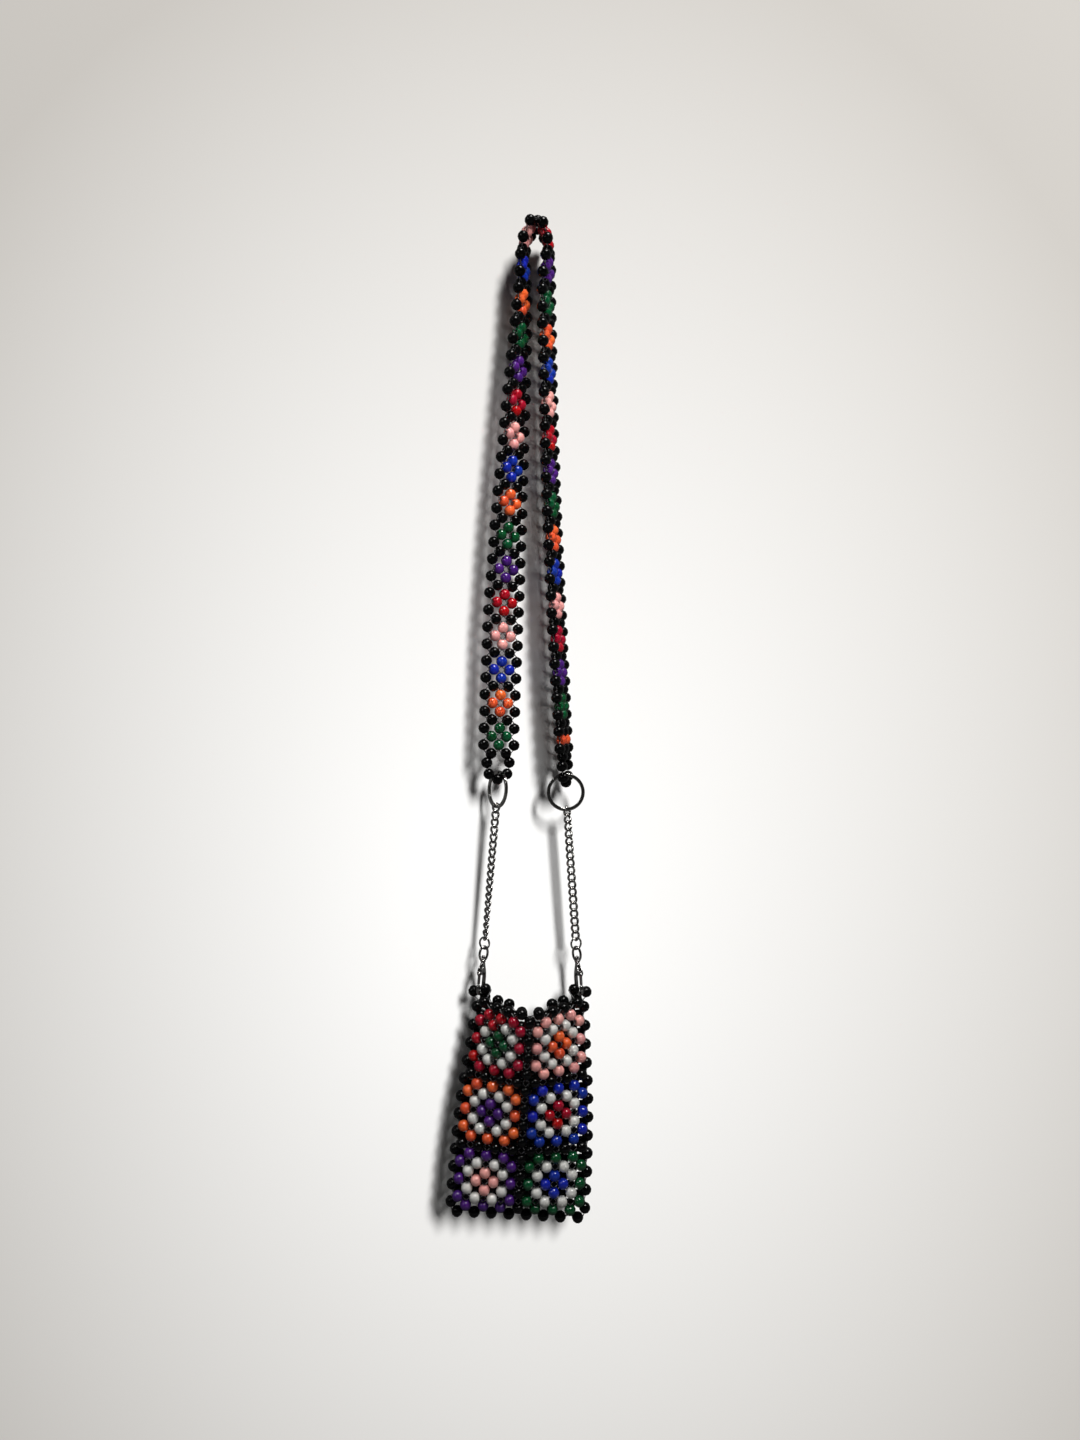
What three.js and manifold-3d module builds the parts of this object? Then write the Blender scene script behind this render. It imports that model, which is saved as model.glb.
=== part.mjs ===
// Beaded phone bag: a flat woven pouch that hangs from a woven strap by rings, curb chains and swivel clasps.
// Millimetres, +Z up. The origin is where the strap's underside lies over whatever holds the bag up.
// The viewer's side, the front of the pouch, faces -Y.

import * as THREE from 'three';
import { mergeVertices } from 'three/addons/utils/BufferGeometryUtils.js';
import Module from 'manifold-3d';

// Beads
const BEAD_RADIUS = 4.1;
const BEAD_SIDES = 10;
const THREAD_RADIUS = 0.5;
const CLEARANCE = 0.3;

// Woven cloth: beads stand proud of the cloth's middle surface, and the holes between them are dimples
const DIMPLE = 1.2;

// Strap: half a weave cell along and across it, rows of half cells, and half the columns across
const STRAP_STEP = 6.39;
const STRAP_ROWS = 128;
const STRAP_COLUMNS = 2;
const STRAP_END_Z = -399.5;
const BEND_RADIUS = 5.2;
const BEND_Z = BEAD_RADIUS - BEND_RADIUS;
const BEND_SWEEP = 70;
const BEND_TURN = 1;

// How each side of the strap hangs: height, place, and how far the band is turned from edge-on, in degrees
const LEFT_FALL = [
  { z: -11.5, x: -9.5, y: 0.4, turn: 4 },
  { z: -43.9, x: -10.2, y: 1.2, turn: 14 },
  { z: -113.9, x: -14.4, y: 0.8, turn: 28 },
  { z: -173.9, x: -18.2, y: 0, turn: 40 },
  { z: -238.9, x: -22.1, y: 0, turn: 53 },
  { z: -303.9, x: -25.6, y: 0, turn: 62 },
  { z: -403.9, x: -29.2, y: 0.6, turn: 63 },
];
const RIGHT_FALL = [
  { z: -11.5, x: 9.2, y: -0.4, turn: 4 },
  { z: -43.9, x: 7.8, y: -1.2, turn: 15 },
  { z: -118.9, x: 9.1, y: -0.8, turn: 16 },
  { z: -173.9, x: 10.4, y: 0, turn: 17 },
  { z: -238.9, x: 13, y: 0, turn: 18 },
  { z: -303.9, x: 16, y: 0, turn: 18.5 },
  { z: -403.9, x: 21.4, y: 0.4, turn: 15 },
];

// The five beads that hang in a loop below an end of the strap, in half cells across and below the last row
const LOOP_BEADS = [
  { across: -1.5, below: 1.1, lean: 0 },
  { across: -1.2, below: 2.45, lean: 40 },
  { across: 0, below: 3.1, lean: 90 },
  { across: 1.2, below: 2.45, lean: 140 },
  { across: 1.5, below: 1.1, lean: 180 },
];
const LOOP_START = { across: 1.45, below: 0.46 };

// Pouch: half cells across each face and down it, and how it hangs
const POUCH_STEP = 6.5;
const POUCH_HALF_WIDTH = 8;
const POUCH_ROWS = 24;
const POUCH_AT = { x: -4.4, y: -13, z: -588.3 };
const POUCH_DRIFT = 0.064;
const POUCH_FAN = 0.0167;
const FOLD_RIM = 48.5;
const FOLD_MIDDLE = 17.7;
const FOLD_WIDTH = 1.6;
const LAST_STEP = 0.75;
const BOTTOM_STEP = 1.1;
const LAYER_GAP = 4.3;
const BULGE_RIM = 4.4;
const BULGE_LOW = 3.4;
const BULGE_END = { row: 22.6, rows: 0.4, share: 0.8 };
const CORNER_PULL = { out: 3.0, up: 1.7, columns: 2, rows: 6 };
const BACK_SAG = { drop: 5, rows: 4, columns: 2 };
const CORNER_NOTCH = 3.0;
const CORNER_LEG = { out: 2.6, up: 1.4 };
const CAVITY_COLUMNS = [-7, -5, -3, -1, 1, 3, 5, 7];
const CAVITY_ROWS = [22.6, 20, 16, 12, 8, 4, 0, -2];

// Split ring: two coils side by side, as one closed ring
const RING_RADIUS = 13.2;
const RING_HALF_DEEP = 1.15;
const RING_HALF_WIDE = 1.0;
const RING_SEGMENTS = 20;

// Curb chain
const CHAIN_LINKS = 18;
const LINK_WIRE = 0.75;
const LINK_HALF_WIDTH = 2.5;
const LINK_TWIST = 50;
const LINK_SEGMENTS = 10;
const LINK_WIRE_SIDES = 5;
const LINK_BITE = 0.3;

// Jump ring
const JUMP_RADIUS = 4.35;
const JUMP_WIRE = 0.65;
const JUMP_SEGMENTS = 14;
const WIRE_SIDES = 5;

// Swivel clasp, measured up its axis from the thread that it holds
const EYE_WIRE = 0.8;
const EYE_HALF_WIDTH = 3.7;
const EYE_HALF_HEIGHT = 5.45;
const EYE_SEGMENTS = 14;
const COLLAR_RADIUS = 2.1;
const COLLAR_HEIGHT = 1.8;
const COLLAR_BORE = 1.15;
const STUD_RADIUS = 0.8;
const STUD_BALL = 1.5;
const CLAW_TOP = 19.9;
const CLAW_HALF_THICK = 1.4;
const HOOK_INNER = 3.3;
const HOOK_OUTER = 5.7;
const NOSE_TOP = 3.2;
const LEVER_TIP = 3.7;
const LEVER_HALF_THICK = 1.0;
const HUB = { out: 3.9, up: 12.6, radius: 1.6 };
const HUB_BORE = 0.75;
const PIN_RADIUS = 0.45;
const CHEEK = { out: 1.6, up: 15.6, radius: 1.7, inner: 1.3, outer: 1.9 };
const TURNED_SIDES = 8;
const CORNER_BEAD_OFFSET = BEAD_RADIUS + 0.15;
const CORNER_OUTER = { out: 6, down: 3.4 };

// Each side: the thread that its clasp holds, and the turn of each piece about the hanging line, in degrees
const SIDES = [
  { name: 'left', way: -1, grip: [-42.8, 3.5, -579.4], ring: -58.5, jump: -32, eye: 38, claw: -113 },
  { name: 'right', way: 1, grip: [32.6, 1.8, -579.5], ring: 0, jump: 30, eye: -40, claw: -67 },
];

const DEGREE = Math.PI / 180;
const UP = new THREE.Vector3(0, 0, 1);
const wasm = await Module();
wasm.setup();

// Materials
const blackBead = { color: 0x08080b, roughness: 0.16, metalness: 0 };
const nickel = { color: 0xb9babd, roughness: 0.2, metalness: 1 };

// A closed skin over rings of points. Each ring runs anticlockwise about the way from the first ring to the last.
function skin(rings, closed) {
  const sides = rings[0].length;
  const points = rings.flat();
  const faces = [];
  const spans = closed ? rings.length : rings.length - 1;
  for (let i = 0; i < spans; i += 1) {
    const here = i * sides;
    const next = ((i + 1) % rings.length) * sides;
    for (let k = 0; k < sides; k += 1) {
      const turn = (k + 1) % sides;
      faces.push(here + k, here + turn, next + turn);
      faces.push(here + k, next + turn, next + k);
    }
  }
  if (!closed) {
    const last = (rings.length - 1) * sides;
    const start = points.length;
    points.push(centre(rings[0]), centre(rings[rings.length - 1]));
    for (let k = 0; k < sides; k += 1) {
      const turn = (k + 1) % sides;
      faces.push(start, turn, k);
      faces.push(start + 1, last + k, last + turn);
    }
  }
  const geometry = new THREE.BufferGeometry().setFromPoints(points);
  geometry.setIndex(faces);
  geometry.computeVertexNormals();
  return geometry;
}

function centre(points) {
  const sum = new THREE.Vector3();
  for (const point of points) sum.add(point);
  return sum.divideScalar(points.length);
}

// A round wire's section, as offsets away from the ring's middle and along its axis, with a corner facing the middle
function wireSection(radius, sides) {
  const section = [];
  for (let k = 0; k < sides; k += 1) {
    const angle = Math.PI + (2 * Math.PI * k) / sides;
    section.push([radius * Math.cos(angle), radius * Math.sin(angle)]);
  }
  return section;
}

// A ring of wire along a closed curve about its own middle, with its section turned to face that middle. Its
// corners lie half a segment to each side of the curve's ends, so that each end is a short straight bar.
function wireLoop(pointAt, segments, section) {
  const rings = [];
  const reach = 1e-3;
  for (let i = 0; i < segments; i += 1) {
    const angle = (2 * Math.PI * (i + 0.5)) / segments;
    const point = pointAt(angle);
    const along = pointAt(angle + reach).sub(pointAt(angle - reach)).normalize();
    const away = point.clone().addScaledVector(along, -point.dot(along)).normalize();
    const across = along.clone().cross(away);
    rings.push(section.map(([out, side]) => (
      point.clone().addScaledVector(away, out).addScaledVector(across, side)
    )));
  }
  return skin(rings, true);
}

// The radius whose end bars lie at a given distance from the middle
function barRadius(distance, segments) {
  return distance / Math.cos(Math.PI / segments);
}

function circleAt(distance, segments) {
  const radius = barRadius(distance, segments);
  return (angle) => new THREE.Vector3(radius * Math.sin(angle), 0, radius * Math.cos(angle));
}

// Beads on a thread: stations with a place, a direction and a radius, carried along without twist
function threaded(stations) {
  const rings = [];
  let side = null;
  let before = null;
  for (const { at, way, radius } of stations) {
    const along = way.clone().normalize();
    if (side === null) {
      const steep = Math.abs(along.z) > Math.abs(along.x);
      side = new THREE.Vector3(steep ? 1 : 0, 0, steep ? 0 : 1).cross(along).normalize();
    } else {
      side.applyQuaternion(new THREE.Quaternion().setFromUnitVectors(before, along));
    }
    before = along;
    const other = along.clone().cross(side);
    const ring = [];
    for (let k = 0; k < BEAD_SIDES; k += 1) {
      const angle = (2 * Math.PI * k) / BEAD_SIDES;
      ring.push(at.clone()
        .addScaledVector(side, radius * Math.cos(angle))
        .addScaledVector(other, radius * Math.sin(angle)));
    }
    rings.push(ring);
  }
  return skin(rings, false);
}

// The stations of one bead: thread, shoulder, shoulder, thread
function beadStations(at, way) {
  const along = way.clone().normalize();
  const ends = [
    { reach: -0.95, share: 0.22 },
    { reach: -0.45, share: 0.9 },
    { reach: 0.45, share: 0.9 },
    { reach: 0.95, share: 0.22 },
  ];
  return ends.map(({ reach, share }) => ({
    at: at.clone().addScaledVector(along, reach * BEAD_RADIUS),
    way: along,
    radius: share * BEAD_RADIUS,
  }));
}

// Solids for joining and cutting
function toSolid(geometry) {
  const bare = geometry.clone();
  bare.deleteAttribute('normal');
  bare.deleteAttribute('uv');
  const merged = mergeVertices(bare, 1e-5);
  return new wasm.Manifold(new wasm.Mesh({
    numProp: 3,
    vertProperties: new Float32Array(merged.attributes.position.array),
    triVerts: new Uint32Array(merged.index.array),
  }));
}

function toGeometry(solid) {
  const mesh = solid.getMesh();
  const geometry = new THREE.BufferGeometry();
  geometry.setAttribute('position', new THREE.BufferAttribute(new Float32Array(mesh.vertProperties), 3));
  geometry.setIndex(new THREE.BufferAttribute(new Uint32Array(mesh.triVerts), 1));
  geometry.computeVertexNormals();
  return geometry;
}

function namedMesh(name, geometry, finish) {
  const mesh = new THREE.Mesh(geometry, new THREE.MeshStandardMaterial(finish));
  mesh.name = name;
  return mesh;
}

// Strap route: one side's place and turn at a height, as a smooth curve through its rows
function fallAt(rows, z) {
  let i = 0;
  while (i < rows.length - 2 && z < rows[i + 1].z) i += 1;
  const from = rows[i];
  const to = rows[i + 1];
  const span = to.z - from.z;
  const t = (z - from.z) / span;
  const slope = (row, key) => {
    const a = rows[Math.max(row - 1, 0)];
    const b = rows[Math.min(row + 1, rows.length - 1)];
    return (b[key] - a[key]) / (b.z - a.z);
  };
  const blend = (key) => (
    (2 * t ** 3 - 3 * t ** 2 + 1) * from[key] + (t ** 3 - 2 * t ** 2 + t) * span * slope(i, key)
    + (3 * t ** 2 - 2 * t ** 3) * to[key] + (t ** 3 - t ** 2) * span * slope(i + 1, key)
  );
  return { at: new THREE.Vector3(blend('x'), blend('y'), z), turn: blend('turn') };
}

// The whole route from the left end over the top to the right end, with its running length
function strapRoute() {
  const bendX = BEND_RADIUS * Math.cos(BEND_TURN * DEGREE);
  const bendY = BEND_RADIUS * Math.sin(BEND_TURN * DEGREE);
  const endOut = Math.sin(BEND_SWEEP * DEGREE);
  const endZ = BEND_Z + BEND_RADIUS * Math.cos(BEND_SWEEP * DEGREE);
  const leftRows = [{ z: endZ, x: -bendX * endOut, y: bendY * endOut, turn: BEND_TURN }, ...LEFT_FALL];
  const rightRows = [{ z: endZ, x: bendX * endOut, y: -bendY * endOut, turn: BEND_TURN }, ...RIGHT_FALL];
  const lowest = LEFT_FALL[LEFT_FALL.length - 1].z;
  const route = [];
  const step = 2;
  for (let z = STRAP_END_Z; z < endZ - 0.5; z += step) route.push(fallAt(leftRows, z));
  for (let turned = -BEND_SWEEP; turned <= BEND_SWEEP; turned += 5) {
    const out = Math.sin(turned * DEGREE);
    const at = new THREE.Vector3(bendX * out, -bendY * out, BEND_Z + BEND_RADIUS * Math.cos(turned * DEGREE));
    route.push({ at, turn: BEND_TURN });
  }
  for (let z = endZ - step; z > lowest - step; z -= step) route.push(fallAt(rightRows, z));
  let length = 0;
  route.forEach((stop, i) => {
    if (i > 0) length += stop.at.distanceTo(route[i - 1].at);
    stop.length = length;
  });
  return route;
}

const route = strapRoute();

// Place, direction, width and face of the strap at a row. Rows beyond an end run on straight.
function strapFrame(row) {
  const length = THREE.MathUtils.clamp(row, 0, STRAP_ROWS) * STRAP_STEP;
  let i = 0;
  while (i < route.length - 2 && length > route[i + 1].length) i += 1;
  const from = route[i];
  const to = route[i + 1];
  const t = (length - from.length) / (to.length - from.length);
  const along = to.at.clone().sub(from.at).normalize();
  const turn = (from.turn + (to.turn - from.turn) * t) * DEGREE;
  const wide = new THREE.Vector3(Math.sin(turn), Math.cos(turn), 0);
  wide.addScaledVector(along, -wide.dot(along)).normalize();
  const at = from.at.clone().lerp(to.at, t);
  at.addScaledVector(along, row * STRAP_STEP - length);
  return { at, along, wide, face: along.clone().cross(wide) };
}

function isBead(column, row) {
  return Math.abs(column + row) % 2 === 1;
}

// One row of the band: along one face to its far edge, and back along the other face to the near edge
function strapRing(row, shift) {
  const point = (column, side) => {
    const bead = isBead(column, row);
    const proud = (bead ? BEAD_RADIUS : DIMPLE) * (shift === 0 ? 1 : 0.35);
    const { at, wide, face } = strapFrame(row + shift * (bead ? 0.55 : 0.1));
    const out = side === 0 ? Math.sign(column) * proud : 0;
    return at.clone().addScaledVector(wide, column * STRAP_STEP + out).addScaledVector(face, side * proud);
  };
  const ring = [];
  for (const side of [-1, 1]) {
    const edge = -side * STRAP_COLUMNS;
    for (let i = 1 - STRAP_COLUMNS; i < STRAP_COLUMNS; i += 1) ring.push(point(-side * i, side));
    ring.push(point(edge, 0));
  }
  return ring;
}

function strapGeometry() {
  const rings = [strapRing(0, -1)];
  for (let row = 0; row <= STRAP_ROWS; row += 1) rings.push(strapRing(row, 0));
  rings.push(strapRing(STRAP_ROWS, 1));
  return skin(rings, false);
}

// The loop of beads below an end of the strap, and the middle of its lowest bead
function strapLoop(endRow) {
  const { at, along, wide } = strapFrame(endRow);
  const down = along.clone().multiplyScalar(endRow === 0 ? -1 : 1);
  const place = (across, below) => at.clone()
    .addScaledVector(wide, across * STRAP_STEP)
    .addScaledVector(down, below * STRAP_STEP);
  const ways = LOOP_BEADS.map(({ lean }) => (
    down.clone().multiplyScalar(Math.cos(lean * DEGREE)).addScaledVector(wide, Math.sin(lean * DEGREE))
  ));
  const stations = LOOP_BEADS.flatMap(({ across, below }, i) => beadStations(place(across, below), ways[i]));
  const first = { at: place(-LOOP_START.across, LOOP_START.below), way: down, radius: THREAD_RADIUS };
  const last = {
    at: place(LOOP_START.across, LOOP_START.below),
    way: down.clone().negate(),
    radius: THREAD_RADIUS,
  };
  const lowest = LOOP_BEADS[(LOOP_BEADS.length - 1) / 2];
  return {
    geometry: threaded([first, ...stations, last]),
    lowest: place(lowest.across, lowest.below),
  };
}

// Pouch: how steeply each half of the cloth falls away from the middle fold at a row
function foldAngle(row) {
  const t = row / POUCH_ROWS;
  return (FOLD_RIM * (1 - t) * (1 - 2 * t) + FOLD_MIDDLE * 4 * t * (1 - t)) * DEGREE;
}

// The cloth's middle line at a row: steps of equal length that turn away from the fold
function foldLine(column, row) {
  const angle = foldAngle(row);
  const reach = Math.abs(column);
  let x = 0;
  let y = 0;
  let depth = 0;
  for (let i = 0; i < POUCH_HALF_WIDTH; i += 1) {
    const slope = angle * Math.tanh((i + 0.5) / FOLD_WIDTH);
    const step = POUCH_STEP * (i === POUCH_HALF_WIDTH - 1 ? LAST_STEP : 1);
    const share = THREE.MathUtils.clamp(reach - i, 0, 1);
    x += share * step * Math.cos(slope);
    y += share * step * Math.sin(slope);
    depth += step * Math.sin(slope);
  }
  return { x: Math.sign(column) * x, y: y - depth / 2, slope: angle * Math.tanh(column / FOLD_WIDTH) };
}

// Half the depth between the front and back layers
function layerHalf(column, row) {
  const t = row / POUCH_ROWS;
  const closing = BULGE_END.share * THREE.MathUtils.clamp((row - BULGE_END.row) / BULGE_END.rows, 0, 1);
  const bulge = (BULGE_RIM + (BULGE_LOW - BULGE_RIM) * t) * (1 - closing);
  return LAYER_GAP + bulge * (1 - (column / POUCH_HALF_WIDTH) ** 2);
}

// A point of the pouch: side -1 is the front layer, 1 the back one and 0 the shared edge. It stands proud of its
// layer's middle surface, out past the pouch's edge and up from its row.
function pouchPoint(column, row, side, proud, out = 0, up = 0) {
  const line = foldLine(column, Math.max(row, 0));
  const half = layerHalf(column, Math.max(row, 0)) / Math.cos(line.slope);
  const corner = Math.max(0, Math.abs(column) - POUCH_HALF_WIDTH + CORNER_PULL.columns) / CORNER_PULL.columns
    * Math.max(0, 1 - Math.max(row, 0) / CORNER_PULL.rows);
  const fall = Math.min(row, POUCH_ROWS - 1) + BOTTOM_STEP * Math.max(0, row - POUCH_ROWS + 1);
  const sag = Math.max(0, side) * BACK_SAG.drop * Math.exp(-((column / BACK_SAG.columns) ** 2))
    * Math.max(0, 1 - Math.max(row, 0) / BACK_SAG.rows);
  const z = -fall * POUCH_STEP * (1 + POUCH_FAN * column / POUCH_HALF_WIDTH) + CORNER_PULL.up * corner - sag;
  const pull = Math.sign(column) * CORNER_PULL.out * corner;
  const x = line.x + pull - side * proud * Math.sin(line.slope) + Math.sign(column) * out * Math.cos(line.slope);
  const y = line.y + side * half + side * proud * Math.cos(line.slope) + out * Math.abs(Math.sin(line.slope));
  return new THREE.Vector3(
    POUCH_AT.x + x + POUCH_DRIFT * z,
    POUCH_AT.y + y,
    POUCH_AT.z + z + up,
  );
}

// One row of the pouch: along the front and back along the rear
function pouchRing(row, finishRow) {
  const ring = [];
  const lowest = row === POUCH_ROWS;
  const bead = (column) => isBead(column, row);
  const point = (column, side) => {
    let proud = bead(column) ? BEAD_RADIUS : DIMPLE;
    let up = 0;
    if (finishRow) {
      const rise = bead(column) ? BEAD_RADIUS : DIMPLE;
      up = lowest ? -rise : rise;
      proud = lowest ? 0.4 * proud : 0;
    }
    if (Math.abs(column) === POUCH_HALF_WIDTH) {
      const notch = row === 0 ? CORNER_NOTCH : 0;
      const out = finishRow ? 0 : proud;
      return pouchPoint(column, row, 0, 0, out - notch, up - notch);
    }
    const closing = lowest ? -layerHalf(column, row) : 0;
    return pouchPoint(column, row, side, proud + closing, 0, up);
  };
  for (let column = -POUCH_HALF_WIDTH; column <= POUCH_HALF_WIDTH; column += 1) ring.push(point(column, -1));
  for (let column = POUCH_HALF_WIDTH - 1; column > -POUCH_HALF_WIDTH; column -= 1) ring.push(point(column, 1));
  return ring;
}

function pouchGeometry() {
  const rings = [pouchRing(POUCH_ROWS, true)];
  for (let row = POUCH_ROWS; row >= 0; row -= 1) rings.push(pouchRing(row, false));
  rings.push(pouchRing(0, true));
  const hollow = CAVITY_ROWS.map((row) => {
    const up = row < 0 ? -row * POUCH_STEP : 0;
    const layer = (columns, side) => columns.map((column) => (
      pouchPoint(column, Math.max(row, 0), side, -BEAD_RADIUS, 0, up)
    ));
    return [...layer(CAVITY_COLUMNS, -1), ...layer([...CAVITY_COLUMNS].reverse(), 1)];
  });
  return toGeometry(toSolid(skin(rings, false)).subtract(toSolid(skin(hollow, false))));
}

// The two beads that make an eye above one end of the rim, on the thread that the clasp holds
function cornerLoop(side, across) {
  const grip = new THREE.Vector3(...side.grip);
  const out = across.clone().multiplyScalar(Math.sign(across.x) * side.way);
  const outer = grip.clone().addScaledVector(out, CORNER_OUTER.out).addScaledVector(UP, -CORNER_OUTER.down);
  const inner = grip.clone().addScaledVector(out, -CORNER_BEAD_OFFSET);
  const inward = out.clone().negate();
  const slant = grip.clone().sub(outer).normalize();
  const legReach = BEAD_RADIUS + 2 * THREAD_RADIUS;
  const edge = pouchPoint(side.way * POUCH_HALF_WIDTH, 1, 0, 0, CORNER_LEG.out, CORNER_LEG.up);
  const rim = pouchPoint(side.way * (POUCH_HALF_WIDTH - 1), 0, -1, 0, 0, BEAD_RADIUS + 2 * CLEARANCE);
  const outerEnd = outer.clone().addScaledVector(slant, -legReach);
  const innerEnd = inner.clone().addScaledVector(inward, legReach);
  return threaded([
    { at: edge, way: UP, radius: THREAD_RADIUS },
    { at: outerEnd, way: slant.clone().add(UP), radius: THREAD_RADIUS },
    ...beadStations(outer, slant),
    ...beadStations(inner, inward),
    { at: innerEnd, way: inward.clone().sub(UP), radius: THREAD_RADIUS },
    { at: rim, way: rim.clone().sub(innerEnd), radius: THREAD_RADIUS },
  ]);
}

// Hardware, in a frame whose +Z runs up the hanging line
function splitRingGeometry() {
  const groove = 0.35;
  const deep = RING_HALF_DEEP;
  const wide = RING_HALF_WIDE;
  const section = [
    [-deep, -0.6 * wide], [0, -wide], [deep, -0.6 * wide], [deep - groove, 0],
    [deep, 0.6 * wide], [0, wide], [-deep, 0.6 * wide],
  ];
  return wireLoop(circleAt(RING_RADIUS, RING_SEGMENTS), RING_SEGMENTS, section);
}

function jumpRingGeometry() {
  return wireLoop(circleAt(JUMP_RADIUS, JUMP_SEGMENTS), JUMP_SEGMENTS, wireSection(JUMP_WIRE, WIRE_SIDES));
}

// A curb link is an oval whose two ends are twisted opposite ways, so that links lie flat in each other
function linkGeometry(endHeight) {
  const halfLength = barRadius(endHeight, LINK_SEGMENTS);
  const oval = (angle) => {
    const wide = LINK_HALF_WIDTH * Math.sin(angle);
    const twist = LINK_TWIST * DEGREE * Math.cos(angle);
    return new THREE.Vector3(wide * Math.cos(twist), wide * Math.sin(twist), halfLength * Math.cos(angle));
  };
  return wireLoop(oval, LINK_SEGMENTS, wireSection(LINK_WIRE, LINK_WIRE_SIDES));
}

// Links share one span between the two rings, and turn evenly from one ring to the other
function chainGeometry(bottom, top, topTurn, bottomTurn) {
  const inside = (top - bottom - (CHAIN_LINKS - 1) * LINK_BITE) / CHAIN_LINKS;
  const pitch = inside + LINK_BITE;
  const firstTurn = topTurn + 90 - LINK_TWIST;
  const lastTurn = bottomTurn - 90 + LINK_TWIST;
  const links = [];
  for (let i = 0; i < CHAIN_LINKS; i += 1) {
    const share = i / (CHAIN_LINKS - 1);
    const link = linkGeometry(inside / 2 + LINK_WIRE);
    link.rotateZ((firstTurn + (lastTurn - firstTurn) * share) * DEGREE);
    link.translate(0, 0, top - inside / 2 - i * pitch);
    links.push(toSolid(link));
  }
  return toGeometry(links.reduce((chain, link) => chain.add(link)));
}

// A turned piece that stands on the hanging line, from pairs of radius and height
function turned(pairs) {
  const profile = pairs.map(([radius, height]) => new THREE.Vector2(radius, height));
  return new THREE.LatheGeometry(profile, TURNED_SIDES).rotateX(Math.PI / 2);
}

function ball(radius, height) {
  return new THREE.SphereGeometry(radius, TURNED_SIDES, 4).rotateX(Math.PI / 2).translate(0, 0, height);
}

const COLLAR_BOTTOM = CLAW_TOP + CLEARANCE;
const EYE_MIDDLE = COLLAR_BOTTOM + COLLAR_HEIGHT / 2 + EYE_HALF_HEIGHT;
const JUMP_MIDDLE = EYE_MIDDLE + EYE_HALF_HEIGHT - EYE_WIRE - CLEARANCE + JUMP_RADIUS - JUMP_WIRE;
const CHAIN_BOTTOM = JUMP_MIDDLE + JUMP_RADIUS - JUMP_WIRE - CLEARANCE;

function eyeGeometry() {
  const halfHeight = barRadius(EYE_HALF_HEIGHT, EYE_SEGMENTS);
  const oval = (angle) => new THREE.Vector3(EYE_HALF_WIDTH * Math.sin(angle), 0, halfHeight * Math.cos(angle));
  const hoop = wireLoop(oval, EYE_SEGMENTS, wireSection(EYE_WIRE, WIRE_SIDES)).translate(0, 0, EYE_MIDDLE);
  const top = COLLAR_BOTTOM + COLLAR_HEIGHT;
  const collar = turned([[0, COLLAR_BOTTOM], [COLLAR_RADIUS, COLLAR_BOTTOM], [COLLAR_RADIUS, top], [0, top]]);
  const bore = turned([[0, CLAW_TOP], [COLLAR_BORE, CLAW_TOP], [COLLAR_BORE, top + 1], [0, top + 1]]);
  return toGeometry(toSolid(hoop).add(toSolid(collar)).subtract(toSolid(bore)));
}

// Flat pieces of the clasp are drawn out from the axis and up it, and have their thickness across it
function plate(shape, from, to) {
  const geometry = new THREE.ExtrudeGeometry(shape, { depth: to - from, bevelEnabled: false, curveSegments: 5 });
  return geometry.translate(0, 0, from).rotateX(Math.PI / 2);
}

function clawGeometry() {
  const seat = HUB.radius + CLEARANCE;
  const body = new THREE.Shape();
  body.moveTo(HOOK_OUTER, NOSE_TOP);
  body.lineTo(HOOK_INNER, NOSE_TOP);
  body.lineTo(HOOK_INNER, 0);
  body.absarc(0, 0, HOOK_INNER, 0, -Math.PI, true);
  body.lineTo(-HOOK_INNER, 9.5);
  body.lineTo(-1.6, 12.2);
  body.lineTo(HUB.out - seat, HUB.up);
  body.absarc(HUB.out, HUB.up, seat, Math.PI, 0.42 * Math.PI, true);
  body.lineTo(4.1, 16.2);
  body.lineTo(2.2, CLAW_TOP);
  body.lineTo(-2.2, CLAW_TOP);
  body.lineTo(-4.9, 13.5);
  body.lineTo(-HOOK_OUTER, 8);
  body.lineTo(-HOOK_OUTER, 0);
  body.absarc(0, 0, HOOK_OUTER, Math.PI, 2 * Math.PI, false);
  body.closePath();
  const tilt = Math.atan2(CHEEK.up - HUB.up, CHEEK.out - HUB.out);
  const cheek = new THREE.Shape();
  cheek.absarc(HUB.out, HUB.up, CHEEK.radius, tilt + 0.5 * Math.PI, tilt + 1.5 * Math.PI, false);
  cheek.absarc(CHEEK.out, CHEEK.up, CHEEK.radius, tilt - 0.5 * Math.PI, tilt + 0.5 * Math.PI, false);
  cheek.closePath();
  const pin = new THREE.Shape().absarc(HUB.out, HUB.up, PIN_RADIUS, 0, 2 * Math.PI, false);
  const headMiddle = COLLAR_BOTTOM + COLLAR_HEIGHT + CLEARANCE + STUD_BALL;
  const stud = turned([[0, CLAW_TOP - 0.5], [STUD_RADIUS, CLAW_TOP - 0.5], [STUD_RADIUS, headMiddle], [0, headMiddle]]);
  const solids = [
    plate(body, -CLAW_HALF_THICK, CLAW_HALF_THICK),
    plate(cheek, CHEEK.inner, CHEEK.outer),
    plate(cheek, -CHEEK.outer, -CHEEK.inner),
    plate(pin, -CHEEK.outer + 0.1, CHEEK.outer - 0.1),
    stud,
    ball(STUD_BALL, headMiddle),
  ];
  return toGeometry(solids.map(toSolid).reduce((claw, solid) => claw.add(solid)));
}

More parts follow.
